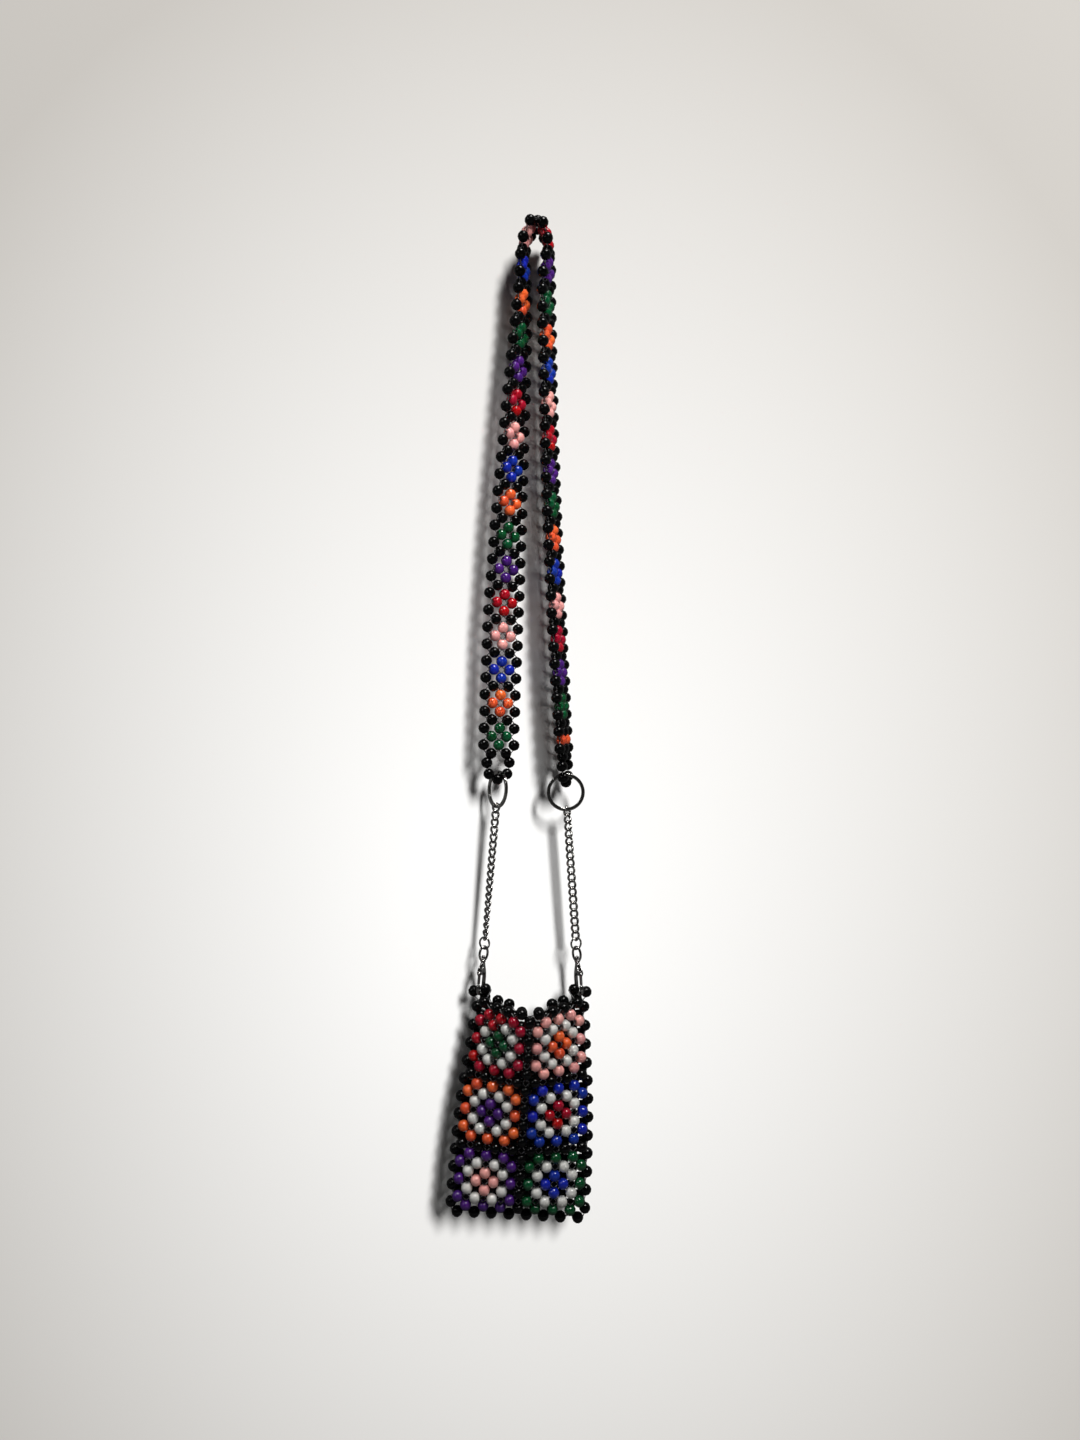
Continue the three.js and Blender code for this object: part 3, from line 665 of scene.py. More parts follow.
@dataclass(frozen=True)
class Bead:
    """A round bead drilled through, in millimetres, and how unevenly hand weaving leaves it."""

    radius: float = 4.1
    hole: float = 0.85
    sides: int = 12
    bands: int = 5
    swell: float = 1.06
    stretch: float = 1.04
    wander: float = 0.1
    lean: float = 0.05
    uneven: float = 0.008
    mouth: float = 0.88
    steep: float = 0.7
    deep: float = 0.8
    thread_radius: float = 0.4
    thread_sides: int = 5

    def profile(self) -> np.ndarray:
        """Draw half a section of the bead: a circle from one rim of the hole to the other.

        Returns:
            Radius and reach along the hole of each row.
        """
        first = np.arcsin(self.hole / self.radius)
        polar = np.linspace(first, np.pi - first, self.bands + 1)
        round_part = self.radius * np.stack([np.sin(polar), -np.cos(polar)], axis=-1)
        return round_part * np.array([self.swell, self.stretch])

    def strung(self, middles: np.ndarray, ways: np.ndarray, colours: np.ndarray | int, seed: int) -> Surface:
        """Place one bead at each middle, with its hole along the way there.

        A point is the middle, plus the profile's radius times the cosine and sine of an angle along two
        vectors square to the hole, plus its reach along the hole. The last row joins the first through the
        hole. Hand weaving moves each bead a little and tilts it a few degrees.

        Args:
            middles: The beads' middles.
            ways: The directions of their holes.
            colours: Their colour numbers, or one for all.
            seed: Which irregularities this cloth has.

        Returns:
            All beads as one surface.
        """
        chance = np.random.default_rng(seed)
        count = len(middles)
        middles = middles + chance.normal(0, self.wander, (count, 3))
        ways = unit(unit(ways) + chance.normal(0, self.lean, (count, 3)))
        side = across(np.where(np.abs(ways[:, 2:]) > self.steep, RIGHT, UP), ways)
        other = np.cross(ways, side)
        profile = self.profile()
        wave = circle(turns(self.sides))
        rings = wave[:, :1] * side[:, None] + wave[:, 1:] * other[:, None]
        size = 1 + chance.normal(0, self.uneven, count)
        points = (
            middles[:, None, None]
            + (size[:, None] * profile[:, 0])[..., None, None] * rings[:, None]
            + profile[:, 1, None, None] * ways[:, None, None]
        )
        rows = len(profile)
        net = quad_net(rows, self.sides, True)
        faces = copies(net, count, rows * self.sides)
        finish = np.repeat(np.broadcast_to(colours, count), len(net))
        reach = np.broadcast_to((profile[:, 1] / self.radius)[:, None], points.shape[:3])
        tone = np.broadcast_to(chance.random(count)[:, None, None], points.shape[:3])
        marks = {"reach": reach.reshape(-1), "tone": tone.reshape(-1)}
        return Surface(points.reshape(-1, 3), [faces], [finish], marks)

    def hole_end(self, middle: np.ndarray, way: np.ndarray, towards: np.ndarray) -> np.ndarray:
        """Return the place, a little inside the hole, at the end that faces another place."""
        sign = np.sign(np.sum(unit(way) * (towards - middle), axis=-1, keepdims=True))
        return middle + sign * unit(way) * self.mouth * self.radius

    def tied(
        self, first: np.ndarray, first_way: np.ndarray, second: np.ndarray, second_way: np.ndarray
    ) -> Surface:
        """Run a short thread between each two beads that follow each other in the weave.

        It goes straight from a place in the hole of one to a place in the hole of the other.

        Args:
            first: Middles of the first beads.
            first_way: Directions of their holes.
            second: Middles of the second beads.
            second_way: Directions of their holes.

        Returns:
            All threads as one surface.
        """
        start = self.hole_end(first, first_way, second)
        end = self.hole_end(second, second_way, first)
        along = unit(end - start)
        out = across(np.where(np.abs(along[:, 1:2]) > self.deep, RIGHT, BACK), along)
        side = np.cross(along, out)
        section = round_section(self.thread_radius, self.thread_sides)
        ring = section[:, :1] * out[:, None] + section[:, 1:] * side[:, None]
        points = np.stack([start[:, None] + ring, end[:, None] + ring], axis=1)
        one = skin(points[0])
        return Surface.plain(points, [copies(net, len(points), len(one.points)) for net in one.faces])

    def cord(self, stops: np.ndarray, flat_to: np.ndarray, count: int) -> Surface:
        """Return a smooth thread through stops that lie nearly in a plane with a given normal."""
        section = round_section(self.thread_radius, self.thread_sides)
        return carried(flowing(stops, count), flat_to, section, False)


@dataclass
class Strap:
    """The woven band, two cells wide, that hangs over its support in a narrow bend."""

    bead: Bead
    step: float = 6.39
    rows: int = 128
    columns: int = 2
    end_z: float = -399.5
    bend_radius: float = 5.2
    bend_sweep: float = 70.0
    bend_turn: float = 1.0
    bend_step: float = 5.0
    bend_joint: float = 0.5
    sample: float = 2.0
    left: tuple[tuple[float, ...], ...] = (
        (-11.5, -9.5, 0.4, 4), (-43.9, -10.2, 1.2, 14), (-113.9, -14.4, 0.8, 28), (-173.9, -18.2, 0, 40),
        (-238.9, -22.1, 0, 53), (-303.9, -25.6, 0, 62), (-403.9, -29.2, 0.6, 63),
    )
    right: tuple[tuple[float, ...], ...] = (
        (-11.5, 9.2, -0.4, 4), (-43.9, 7.8, -1.2, 15), (-118.9, 9.1, -0.8, 16), (-173.9, 10.4, 0, 17),
        (-238.9, 13, 0, 18), (-303.9, 16, 0, 18.5), (-403.9, 21.4, 0.4, 15),
    )
    order: tuple[BeadColour, ...] = (
        BeadColour.GREEN, BeadColour.ORANGE, BeadColour.BLUE,
        BeadColour.PINK, BeadColour.RED, BeadColour.PURPLE,
    )
    plain: tuple[tuple[int, int], ...] = ((0, 125), (0, 127))
    loop: tuple[Triple, ...] = (
        (-1.5, 1.1, 0), (-1.2, 2.45, 40), (0, 3.1, 90), (1.2, 2.45, 140), (1.5, 1.1, 180),
    )
    loop_start: Pair = (1.2, 0.2)
    loop_samples: int = 40

    def __post_init__(self) -> None:
        """Work out the route once."""
        self.places, self.turns, self.lengths = self.route()

    @staticmethod
    def fall(table: np.ndarray, z: np.ndarray) -> np.ndarray:
        """Follow one side of the strap down.

        Place and turn are cubics in the height between the table's rows. The slope at a row is the step from
        the row before to the row after, over their difference in height.

        Args:
            table: Rows of height, x, y and turn, from the top down.
            z: Heights.

        Returns:
            Place and turn at each height.
        """
        heights, values = table[:, 0], table[:, 1:]
        last = len(table) - 1
        number = np.arange(len(table))
        before, after = np.maximum(number - 1, 0), np.minimum(number + 1, last)
        slopes = (values[after] - values[before]) / (heights[after] - heights[before])[:, None]
        i = np.clip(np.searchsorted(-heights, -z, side="left") - 1, 0, last - 1)
        span = (heights[i + 1] - heights[i])[:, None]
        t = (z - heights[i])[:, None] / span
        found = cubic(t, values[i], values[i + 1], span * slopes[i], span * slopes[i + 1])
        return np.column_stack([found[:, :2], z, found[:, 2]])

    def route(self) -> tuple[np.ndarray, np.ndarray, np.ndarray]:
        """Trace the strap's middle line from its left end, over an arc at the top, to its right end.

        Returns:
            Places, turns in degrees and running lengths.
        """
        turn = np.radians(self.bend_turn)
        swept = np.radians(np.arange(-self.bend_sweep, self.bend_sweep + 1, self.bend_step))
        bend = np.stack([
            self.bend_radius * np.cos(turn) * np.sin(swept),
            -self.bend_radius * np.sin(turn) * np.sin(swept),
            self.bead.radius - self.bend_radius + self.bend_radius * np.cos(swept),
            np.full(len(swept), self.bend_turn),
        ], axis=-1)
        left = np.array([bend[0][[2, 0, 1, 3]], *self.left])
        right = np.array([bend[-1][[2, 0, 1, 3]], *self.right])
        foot_z = bend[0, 2]
        left_z = np.arange(self.end_z, foot_z - self.bend_joint, self.sample)
        right_z = np.arange(foot_z - self.sample, self.right[-1][0] - self.sample, -self.sample)
        line = np.concatenate([self.fall(left, left_z), bend, self.fall(right, right_z)])
        steps = np.linalg.norm(np.diff(line[:, :3], axis=0), axis=1)
        return line[:, :3], line[:, 3], np.concatenate([[0.0], np.cumsum(steps)])

    def frames(self, rows: np.ndarray) -> tuple[np.ndarray, np.ndarray, np.ndarray, np.ndarray]:
        """Find the band's place and directions at rows, which run on straight past both ends.

        Args:
            rows: Row numbers, in half weave cells.

        Returns:
            Places, and unit vectors along the band, across it and out of its face.
        """
        length = np.clip(rows, 0, self.rows) * self.step
        i = np.clip(np.searchsorted(self.lengths, length, side="left") - 1, 0, len(self.lengths) - 2)
        t = ((length - self.lengths[i]) / (self.lengths[i + 1] - self.lengths[i]))[:, None]
        along = unit(self.places[i + 1] - self.places[i])
        turn = np.radians(self.turns[i] + (self.turns[i + 1] - self.turns[i]) * t[:, 0])
        wide = across(np.stack([np.sin(turn), np.cos(turn), np.zeros(len(turn))], axis=-1), along)
        place = self.places[i] + (self.places[i + 1] - self.places[i]) * t
        place = place + along * (rows * self.step - length)[:, None]
        return place, along, wide, np.cross(along, wide)

    def bead_at(self, columns: np.ndarray, rows: np.ndarray) -> tuple[np.ndarray, np.ndarray]:
        """Find a bead's middle and the way of its hole: along the band in odd rows, across it in even ones.

        Args:
            columns: Half cells across the band from its middle.
            rows: Half cells along it.

        Returns:
            Middles and directions.
        """
        place, along, wide, _ = self.frames(rows.astype(float))
        odd = (rows % 2 == 1)[:, None]
        return place + wide * (columns * self.step)[:, None], np.where(odd, along, wide)

    def weave(self, palette: Palette) -> None:
        """Build the band's beads and thread.

        Beads lie where column plus row is odd. Around every fourth row from the second, the four beads next
        to the band's middle share a colour, in a repeating order, and the rest are black.

        Args:
            palette: The materials.
        """
        columns, rows = lattice(np.arange(-self.columns, self.columns + 1), np.arange(self.rows + 1))
        kept = (columns + rows) % 2 == 1
        columns, rows = columns[kept], rows[kept]
        middles, ways = self.bead_at(columns, rows)
        near = np.abs(columns) + np.abs(rows % 4 - 2) == 1
        for column, row in self.plain:
            near &= (columns != column) | (rows != row)
        tints = np.array([colour.value for colour in self.order])
        colours = np.where(near, tints[rows // 4 % len(tints)], BeadColour.BLACK.value)
        ties = []
        for down in (-1, 1):
            joined = (columns < self.columns) & (rows + down >= 0) & (rows + down <= self.rows)
            following = self.bead_at(columns[joined] + 1, rows[joined] + down)
            ties.append(self.bead.tied(middles[joined], ways[joined], *following))
        beads = self.bead.strung(middles, ways, colours, STRAP_SEED)
        palette.add_woven("strap", beads, Surface.joined(ties))

    def end_loop(self, side: str, end_row: int, palette: Palette) -> np.ndarray:
        """Hang five beads in a loop below an end of the band.

        Args:
            side: Which side of the bag.
            end_row: The band's last row there.
            palette: The materials.

        Returns:
            The middle of the lowest bead.
        """
        place, along, wide, face = (part[0] for part in self.frames(np.array([float(end_row)])))
        down = along * (-1 if end_row == 0 else 1)
        table = np.array(self.loop)
        middles = place + (table[:, :1] * wide + table[:, 1:2] * down) * self.step
        lean = np.radians(table[:, 2:])
        ways = np.cos(lean) * down + np.sin(lean) * wide
        beads = self.bead.strung(middles, ways, BeadColour.BLACK.value, LOOP_SEED + end_row)
        start, below = self.loop_start
        ends = [place + (way * start * wide + below * down) * self.step for way in (-1, 1)]
        stops = np.concatenate([ends[:1], middles, ends[1:]])
        palette.add_woven(f"{side}_strap_loop", beads, self.bead.cord(stops, face, self.loop_samples))
        return middles[len(middles) // 2]


@dataclass
class Pouch:
    """The flat woven pouch, folded forward along its middle towards the rim."""

    bead: Bead
    step: float = 6.5
    half_width: int = 8
    rows: int = 24
    at: Triple = (-4.4, -13.0, -588.3)
    drift: float = 0.064
    fan: float = 0.0167
    fold_rim: float = 48.5
    fold_middle: float = 17.7
    fold_width: float = 1.6
    last_step: float = 0.75
    bottom_step: float = 1.1
    layer_gap: float = 4.3
    bulge_rim: float = 4.4
    bulge_low: float = 3.4
    bulge_end: float = 0.8
    closing_start: float = 1.4
    closing_rows: float = 0.4
    pull_out: float = 3.0
    pull_up: float = 1.7
    pull_columns: float = 2.0
    pull_rows: float = 6.0
    sag: float = 5.0
    sag_rows: float = 4.0
    sag_columns: float = 2.0
    tile: int = 8
    squares: tuple[tuple[tuple[BeadColour, BeadColour], ...], ...] = (
        ((BeadColour.RED, BeadColour.GREEN), (BeadColour.PINK, BeadColour.ORANGE)),
        ((BeadColour.ORANGE, BeadColour.PURPLE), (BeadColour.BLUE, BeadColour.RED)),
        ((BeadColour.PURPLE, BeadColour.PINK), (BeadColour.GREEN, BeadColour.BLUE)),
    )
    strays: tuple[tuple[int, int, BeadColour], ...] = ((-5, 2, BeadColour.RED),)

    def point(self, columns: np.ndarray, rows: np.ndarray, sides: np.ndarray) -> np.ndarray:
        """Find places in the cloth's middle surface.

        Each half of a row runs away from the middle fold in equal steps, whose slope is the row's fold angle
        times the hyperbolic tangent of the distance from the fold. The two layers lie in front and behind by
        half a gap that bulges with one minus the square of the distance across. The fold angle is a quadratic
        in the height, the rim's corners are pulled up and out, and the back rim sags in its middle.

        Args:
            columns: Half cells across from the fold.
            rows: Half cells down from the rim.
            sides: -1 for the front layer, 1 for the back one, 0 for the shared edge.

        Returns:
            The places.
        """
        columns, rows, sides = (np.asarray(part, dtype=float) for part in (columns, rows, sides))
        level = np.maximum(rows, 0)
        t = level / self.rows
        angle = np.radians(self.fold_rim * (1 - t) * (1 - 2 * t) + self.fold_middle * 4 * t * (1 - t))
        number = np.arange(self.half_width)
        slope = angle[..., None] * np.tanh((number + 0.5) / self.fold_width)
        length = self.step * np.where(number == self.half_width - 1, self.last_step, 1.0)
        share = np.clip(np.abs(columns)[..., None] - number, 0, 1)
        x = np.sign(columns) * np.sum(share * length * np.cos(slope), axis=-1)
        y = np.sum((share - 0.5) * length * np.sin(slope), axis=-1)
        closing = np.clip((rows - self.rows + self.closing_start) / self.closing_rows, 0, 1)
        bulge = (self.bulge_rim + (self.bulge_low - self.bulge_rim) * t) * (1 - self.bulge_end * closing)
        half = self.layer_gap + bulge * (1 - (columns / self.half_width) ** 2)
        half = np.where(rows >= self.rows, 0.0, half / np.cos(angle * np.tanh(columns / self.fold_width)))
        corner = np.maximum(0, np.abs(columns) - self.half_width + self.pull_columns) / self.pull_columns
        corner = corner * np.maximum(0, 1 - level / self.pull_rows)
        fall = np.minimum(rows, self.rows - 1) + self.bottom_step * np.maximum(0, rows - self.rows + 1)
        sag = np.maximum(0, sides) * self.sag * np.exp(-((columns / self.sag_columns) ** 2))
        sag = sag * np.maximum(0, 1 - level / self.sag_rows)
        z = -fall * self.step * (1 + self.fan * columns / self.half_width) + self.pull_up * corner - sag
        x = x + np.sign(columns) * self.pull_out * corner + self.drift * z
        return np.stack([x, y + sides * half, z], axis=-1) + np.array(self.at)

    def bead_at(
        self, columns: np.ndarray, rows: np.ndarray, sides: np.ndarray, reach: float = 0.4
    ) -> tuple[np.ndarray, np.ndarray]:
        """Find a bead's middle and the way of its hole: down the cloth in odd rows, across it in even ones.

        Args:
            columns: Half cells across from the fold.
            rows: Half cells down from the rim.
            sides: -1 for the front layer, 1 for the back one, 0 for the shared edge.
            reach: How far to each side the cloth's direction is measured, in half cells.

        Returns:
            Middles and directions.
        """
        down = self.point(columns, rows + reach, sides) - self.point(columns, rows - reach, sides)
        wide = self.point(columns + reach, rows, sides) - self.point(columns - reach, rows, sides)
        odd = (rows % 2 == 1)[:, None]
        return self.point(columns, rows, sides), unit(np.where(odd, down, wide))

    def colours(self, columns: np.ndarray, rows: np.ndarray, sides: np.ndarray) -> np.ndarray:
        """Choose each bead's colour.

        The cloth is laid out in squares of eight half cells. About a square's middle, beads one step away are
        its heart, beads at steps of one and two are white, beads at three and none or three and two are its
        petals, and the rest are black. The whole back is black too, as painted shade that makes the gaps
        between the front beads read dark.

        Args:
            columns: Half cells across from the fold.
            rows: Half cells down from the rim.
            sides: -1 for the front layer, 1 for the back one, 0 for the shared edge.

        Returns:
            Colour numbers.
        """
        half = self.tile // 2
        right = (columns > 0).astype(int)
        square_row = np.clip(rows // self.tile, 0, len(self.squares) - 1)
        du = np.abs(columns - np.where(right == 1, half, -half))
        dv = np.abs(rows - (square_row * self.tile + half))
        near, far = np.minimum(du, dv), np.maximum(du, dv)
        table = np.array([[[c.value for c in pair] for pair in line] for line in self.squares])
        petals, heart = np.moveaxis(table[square_row, right], -1, 0)
        found = np.full(columns.shape, BeadColour.BLACK.value)
        found = np.where((far == 3) & ((near == 0) | (near == 2)), petals, found)
        found = np.where((far == 2) & (near == 1), BeadColour.WHITE.value, found)
        found = np.where((far == 1) & (near == 0), heart, found)
        for column, row, colour in self.strays:
            found = np.where((columns == column) & (rows == row) & (sides < 0), colour.value, found)
        # Painted shade: the back is black so that the gaps between the front beads read dark; the rim, the
        # bottom and the edges are black in the weave itself.
        plain = (sides >= 0) | (rows == 0) | (rows >= self.rows)
        return np.where(plain, BeadColour.BLACK.value, found)

    def shared(self, columns: np.ndarray, rows: np.ndarray) -> np.ndarray:
        """Tell which beads belong to both layers: those of the two edges and of the bottom row."""
        return (np.abs(columns) == self.half_width) | (rows == self.rows)

    def weave(self, palette: Palette) -> None:
        """Build the pouch's beads and thread.

        Beads lie where column plus row is odd. Front and back layers share the beads of both edges and of the
        bottom row.

        Args:
            palette: The materials.
        """
        wide, tall = self.half_width, self.rows
        columns, rows, sides = lattice(np.arange(-wide, wide + 1), np.arange(tall + 1), np.array([-1, 1]))
        shared = self.shared(columns, rows)
        corner = (np.abs(columns) == wide) & (rows == tall)
        kept = ((columns + rows) % 2 == 1) & ~(shared & (sides > 0)) & ~corner
        columns, rows, sides = columns[kept], rows[kept], np.where(shared, 0, sides)[kept]
        middles, ways = self.bead_at(columns, rows, sides)
        beads = self.bead.strung(middles, ways, self.colours(columns, rows, sides), POUCH_SEED)
        ties = [self.layer_ties(side, down) for side in (-1, 1) for down in (-1, 1)]
        palette.add_woven("pouch", beads, Surface.joined(ties))

    def layer_ties(self, side: int, down: int) -> Surface:
        """Tie each bead of a layer to its next neighbour across and one row up or down.

        Args:
            side: -1 for the front layer, 1 for the back one.
            down: 1 for the neighbour below, -1 for the one above.

        Returns:
            The threads.
        """
        columns, rows = lattice(np.arange(-self.half_width, self.half_width), np.arange(self.rows + 1))
        kept = ((columns + rows) % 2 == 1) & (rows + down >= 0) & (rows + down <= self.rows)
        ends = []
        for u, v in ((columns[kept], rows[kept]), (columns[kept] + 1, rows[kept] + down)):
            ends += self.bead_at(u, v, np.where(self.shared(u, v), 0, side))
        return self.bead.tied(*ends)


@dataclass
class HangingLine:
    """The straight line from the thread that a clasp holds up to the middle of its split ring."""

    grip: np.ndarray
    ring_middle: np.ndarray

    def __post_init__(self) -> None:
        """Work out the line's length and its frame."""
        line = self.ring_middle - self.grip
        self.span = float(np.linalg.norm(line))
        up = line / self.span
        right = across(RIGHT, up)
        self.basis = np.stack([right, np.cross(up, right), up])

    @staticmethod
    def spin(turn: float) -> np.ndarray:
        """Return the local X, Y and Z directions of a piece that is turned about the line by degrees."""
        angle = np.radians(turn)
        return np.array([[np.cos(angle), np.sin(angle), 0], [-np.sin(angle), np.cos(angle), 0], [0, 0, 1]])

    def placed(self, surface: Surface, turn: float, height: float = 0.0) -> Surface:
        """Turn a surface about the line by degrees, lift it, and bring it into the bag's frame."""
        points = (surface.points @ self.spin(turn) + UP * height) @ self.basis + self.grip
        return Surface(points, surface.faces, surface.finish, surface.marks)


@dataclass
class Hardware:
    """One side's split ring, chain, jump ring and swivel clasp, in millimetres up the hanging line."""

    side: str
    way: int
    grip: Triple
    ring_turn: float
    jump_turn: float
    eye_turn: float
    claw_turn: float
    clearance: float = 0.3
    swell: float = 1.15
    wire_sides: int = 10
    ring_radius: float = 13.2
    ring_half_deep: float = 1.15
    ring_half_wide: float = 1.0
    ring_ends: float = 0.1
    ring_kink: float = 0.11
    ring_fill: float = 0.94
    ring_tip: Pair = (0.55, 0.12)
    ring_samples: int = 150
    links: int = 18
    link_wire: float = 0.75
    link_half_width: float = 2.5
    link_twist: float = 50.0
    link_bite: float = 0.3
    link_flat: float = 0.92
    link_swell: float = 1.28
    link_samples: int = 26
    link_sides: int = 8
    jump_radius: float = 4.35
    jump_wire: float = 0.65
    jump_gap: float = 0.035
    jump_samples: int = 44
    eye_wire: float = 0.8
    eye_half_width: float = 3.7
    eye_half_height: float = 5.45
    eye_samples: int = 40
    collar_profile: tuple[Pair, ...] = (
        (0.9, 0.0), (1.85, 0.0), (2.1, 0.25), (2.1, 1.2), (1.75, 1.65), (1.0, 1.8),
    )
    collar_height: float = 1.8
    claw_top: float = 19.9
    claw_half_thick: float = 1.4
    hook_inner: float = 3.3
    hook_outer: float = 5.7
    nose_top: float = 3.2
    nose_soft: float = 0.4
    hook_samples: int = 17
    back_outer: tuple[Pair, ...] = (
        (-5.7, 4.0), (-5.7, 8.0), (-5.4, 11.0), (-4.9, 13.5),
        (-4.1, 15.6), (-3.3, 17.3), (-2.4, 19.4), (-1.9, 19.9),
    )
    back_inner: tuple[Pair, ...] = (
        (-3.3, 4.0), (-3.3, 8.6), (-2.0, 11.6), (1.6, 13.1),
        (2.9, 14.6), (3.9, 16.2), (2.4, 19.4), (1.9, 19.9),
    )
    cheek_foot: Pair = (1.6, 15.6)
    cheek_depths: tuple[float, ...] = (1.25, 1.3, 1.75, 1.9)
    cheek_sizes: tuple[float, ...] = (1.65, 1.7, 1.7, 1.45)
    cheek_samples: int = 9
    pin_radius: float = 0.5
    pin_reach: float = 2.15
    pin_steps: tuple[float, ...] = (1, 1.3, 1, 1, 1.3, 1)
    stud_radius: float = 0.8
    stud_root: float = 0.6
    stud_neck: float = 1.2
    stud_ball: float = 1.5
    lever_outer: tuple[Pair, ...] = (
        (5.2, 3.7), (5.5, 4.0), (5.5, 6.5), (5.5, 9.4), (5.9, 10.5),
        (7.1, 11.3), (7.2, 12.3), (5.3, 13.4), (4.5, 14.1),
    )
    lever_inner: tuple[Pair, ...] = (
        (3.7, 3.7), (3.4, 4.0), (3.4, 6.5), (3.4, 9.0), (3.1, 10.6),
        (2.55, 11.75), (2.3, 12.6), (2.6, 13.5), (3.4, 14.1),
    )
    lever_half_thick: float = 1.0
    hub: Pair = (3.9, 12.6)
    bead_offset: float = 4.25
    outer_bead: Pair = (6.0, 3.4)
    corner_rise: float = 6.0
    corner_reach: float = 0.5
    corner_samples: int = 48

    def heights(self) -> tuple[float, float, float, float]:
        """Work out how high the pieces hang.

        Returns:
            The heights of the collar's foot, the eye's middle, the jump ring's middle and the chain's foot.
        """
        collar = self.claw_top + self.clearance
        eye = collar + self.collar_height / 2 + self.eye_half_height
        jump = eye + self.eye_half_height - self.eye_wire - self.clearance + self.jump_radius - self.jump_wire
        return collar, eye, jump, jump + self.jump_radius - self.jump_wire - self.clearance

    def drop(self, bead: Bead) -> float:
        """Return how far the split ring's middle hangs below the bead that carries it."""
        return self.ring_radius - self.ring_half_deep - bead.radius - self.clearance

    def split_ring(self) -> Surface:
        """Coil a flat wire twice round.

        The wire follows a circle for two turns. Its place along the ring's axis is a hyperbolic tangent of
        the angle, so that it crosses from one coil to the other in a short kink half way. The profile is a
        box with round corners that narrows at both ends.

        Returns:
            The ring, about its own middle.
        """
        angle = np.linspace(self.ring_ends, 4 * np.pi - self.ring_ends, self.ring_samples)
        coil = self.ring_half_wide / 2
        height = coil * np.tanh((angle - 2 * np.pi) / self.ring_kink)
        out = upright(np.sin(angle), np.cos(angle))
        deep = self.ring_half_deep * self.swell
        section = soft_box_section(deep, coil * self.ring_fill, sides=12, power=0.55)
        ends = np.minimum(angle - angle[0], angle[-1] - angle)
        tip, taper = self.ring_tip
        narrow = tip + (1 - tip) * np.clip(ends / taper, 0, 1)
        path = self.ring_radius * out + height[:, None] * BACK
        return carried(path, out, section * narrow[:, None, None], False)

    def jump_ring(self) -> Surface:
        """Bend a round wire into a circle whose two cut ends meet with a fine gap.

        Returns:
            The ring, about its own middle.
        """
        angle = np.linspace(self.jump_gap, 2 * np.pi - self.jump_gap, self.jump_samples) + 0.5 * np.pi
        path = self.jump_radius * upright(np.sin(angle), np.cos(angle))
        return carried(path, path, round_section(self.jump_wire * self.swell, self.wire_sides), False)

    def link(self, half_length: float) -> Surface:
        """Bend one curb link.

        The wire follows an oval whose width lies along a direction that turns one way at the top and the
        other way at the bottom, by the twist times the cosine of the angle round it. The wire is a little
        flattened.

        Args:
            half_length: Half the height of the wire's middle line.

        Returns:
            The link, about its own middle.
        """
        angle = turns(self.link_samples)
        wide = self.link_half_width * np.sin(angle)
        twist = np.radians(self.link_twist) * np.cos(angle)
        path = upright(wide * np.cos(twist), half_length * np.cos(angle), wide * np.sin(twist))
        section = round_section(self.link_wire * self.link_swell, self.link_sides, self.link_flat)
        return carried(path, path, section, True)

    def chain(self, line: HangingLine, bottom: float) -> Surface:
        """Hang the links at an even pitch, turning evenly from the split ring to the jump ring.

        Args:
            line: The line that they hang on.
            bottom: Height of the chain's foot.

        Returns:
            All links as one surface.
        """
        top = line.span - self.ring_radius + self.ring_half_deep + self.clearance
        inside = (top - bottom - (self.links - 1) * self.link_bite) / self.links
        first = self.ring_turn + 90 - self.link_twist
        last = self.jump_turn - 90 + self.link_twist
        one = self.link(inside / 2 + self.link_wire)
        places = zip(np.linspace(first, last, self.links), range(self.links))
        pitch = inside + self.link_bite
        return Surface.joined([line.placed(one, turn, top - inside / 2 - i * pitch) for turn, i in places])

    def eye(self, collar: float, middle: float) -> Surface:
        """Return the swivel's oval hoop and the collar that its stud turns in.

        Args:
            collar: Height of the collar's foot.
            middle: Height of the hoop's middle.

        Returns:
            Both as one surface.
        """
        angle = turns(self.eye_samples)
        path = upright(self.eye_half_width * np.sin(angle), self.eye_half_height * np.cos(angle))
        hoop = carried(path, path, round_section(self.eye_wire * self.swell, self.wire_sides), True)
        hoop.points = hoop.points + UP * middle
        pairs = np.array(self.collar_profile) + np.array([0.0, collar])
        return Surface.joined([hoop, turned(pairs, sides=20)])

    def claw(self, collar: float) -> Surface:
        """Return the fixed hook, its two cheeks, the lever's pin and the swivel's stud.

        The hook is a bar with round edges between an outer and an inner outline: down the nose, round half a
        circle, up the back and into the shoulders.

        Args:
            collar: Height of the collar's foot.

        Returns:
            All of them as one surface.
        """
        arc = circle(np.linspace(0, -np.pi, self.hook_samples))
        soft = self.nose_soft
        outer, inner = (
            np.concatenate([
                [(radius + shift, self.nose_top), (radius, self.nose_top - soft)], radius * arc, back,
            ])
            for radius, shift, back in (
                (self.hook_outer, -soft, self.back_outer), (self.hook_inner, soft, self.back_inner),
            )
        )
        hook = lofted(outer, inner, self.claw_half_thick, power=0.62, sides=16)
        steps = np.array(self.pin_steps)[:, None, None]
        pin_path = upright(*self.hub, np.linspace(-self.pin_reach, self.pin_reach, len(steps)))
        pin = carried(pin_path, UP, round_section(self.pin_radius, self.wire_sides) * steps, False)
        ball = collar + self.collar_height + self.clearance + self.stud_ball
        stud = turned(np.concatenate([
            [(self.stud_radius, self.claw_top - self.stud_root), (self.stud_radius, ball - self.stud_neck)],
            ball_pairs(self.stud_ball, ball, rows=9)[2:],
        ]), sides=16)
        return Surface.joined([hook, self.cheek(-1), self.cheek(1), pin, stud])

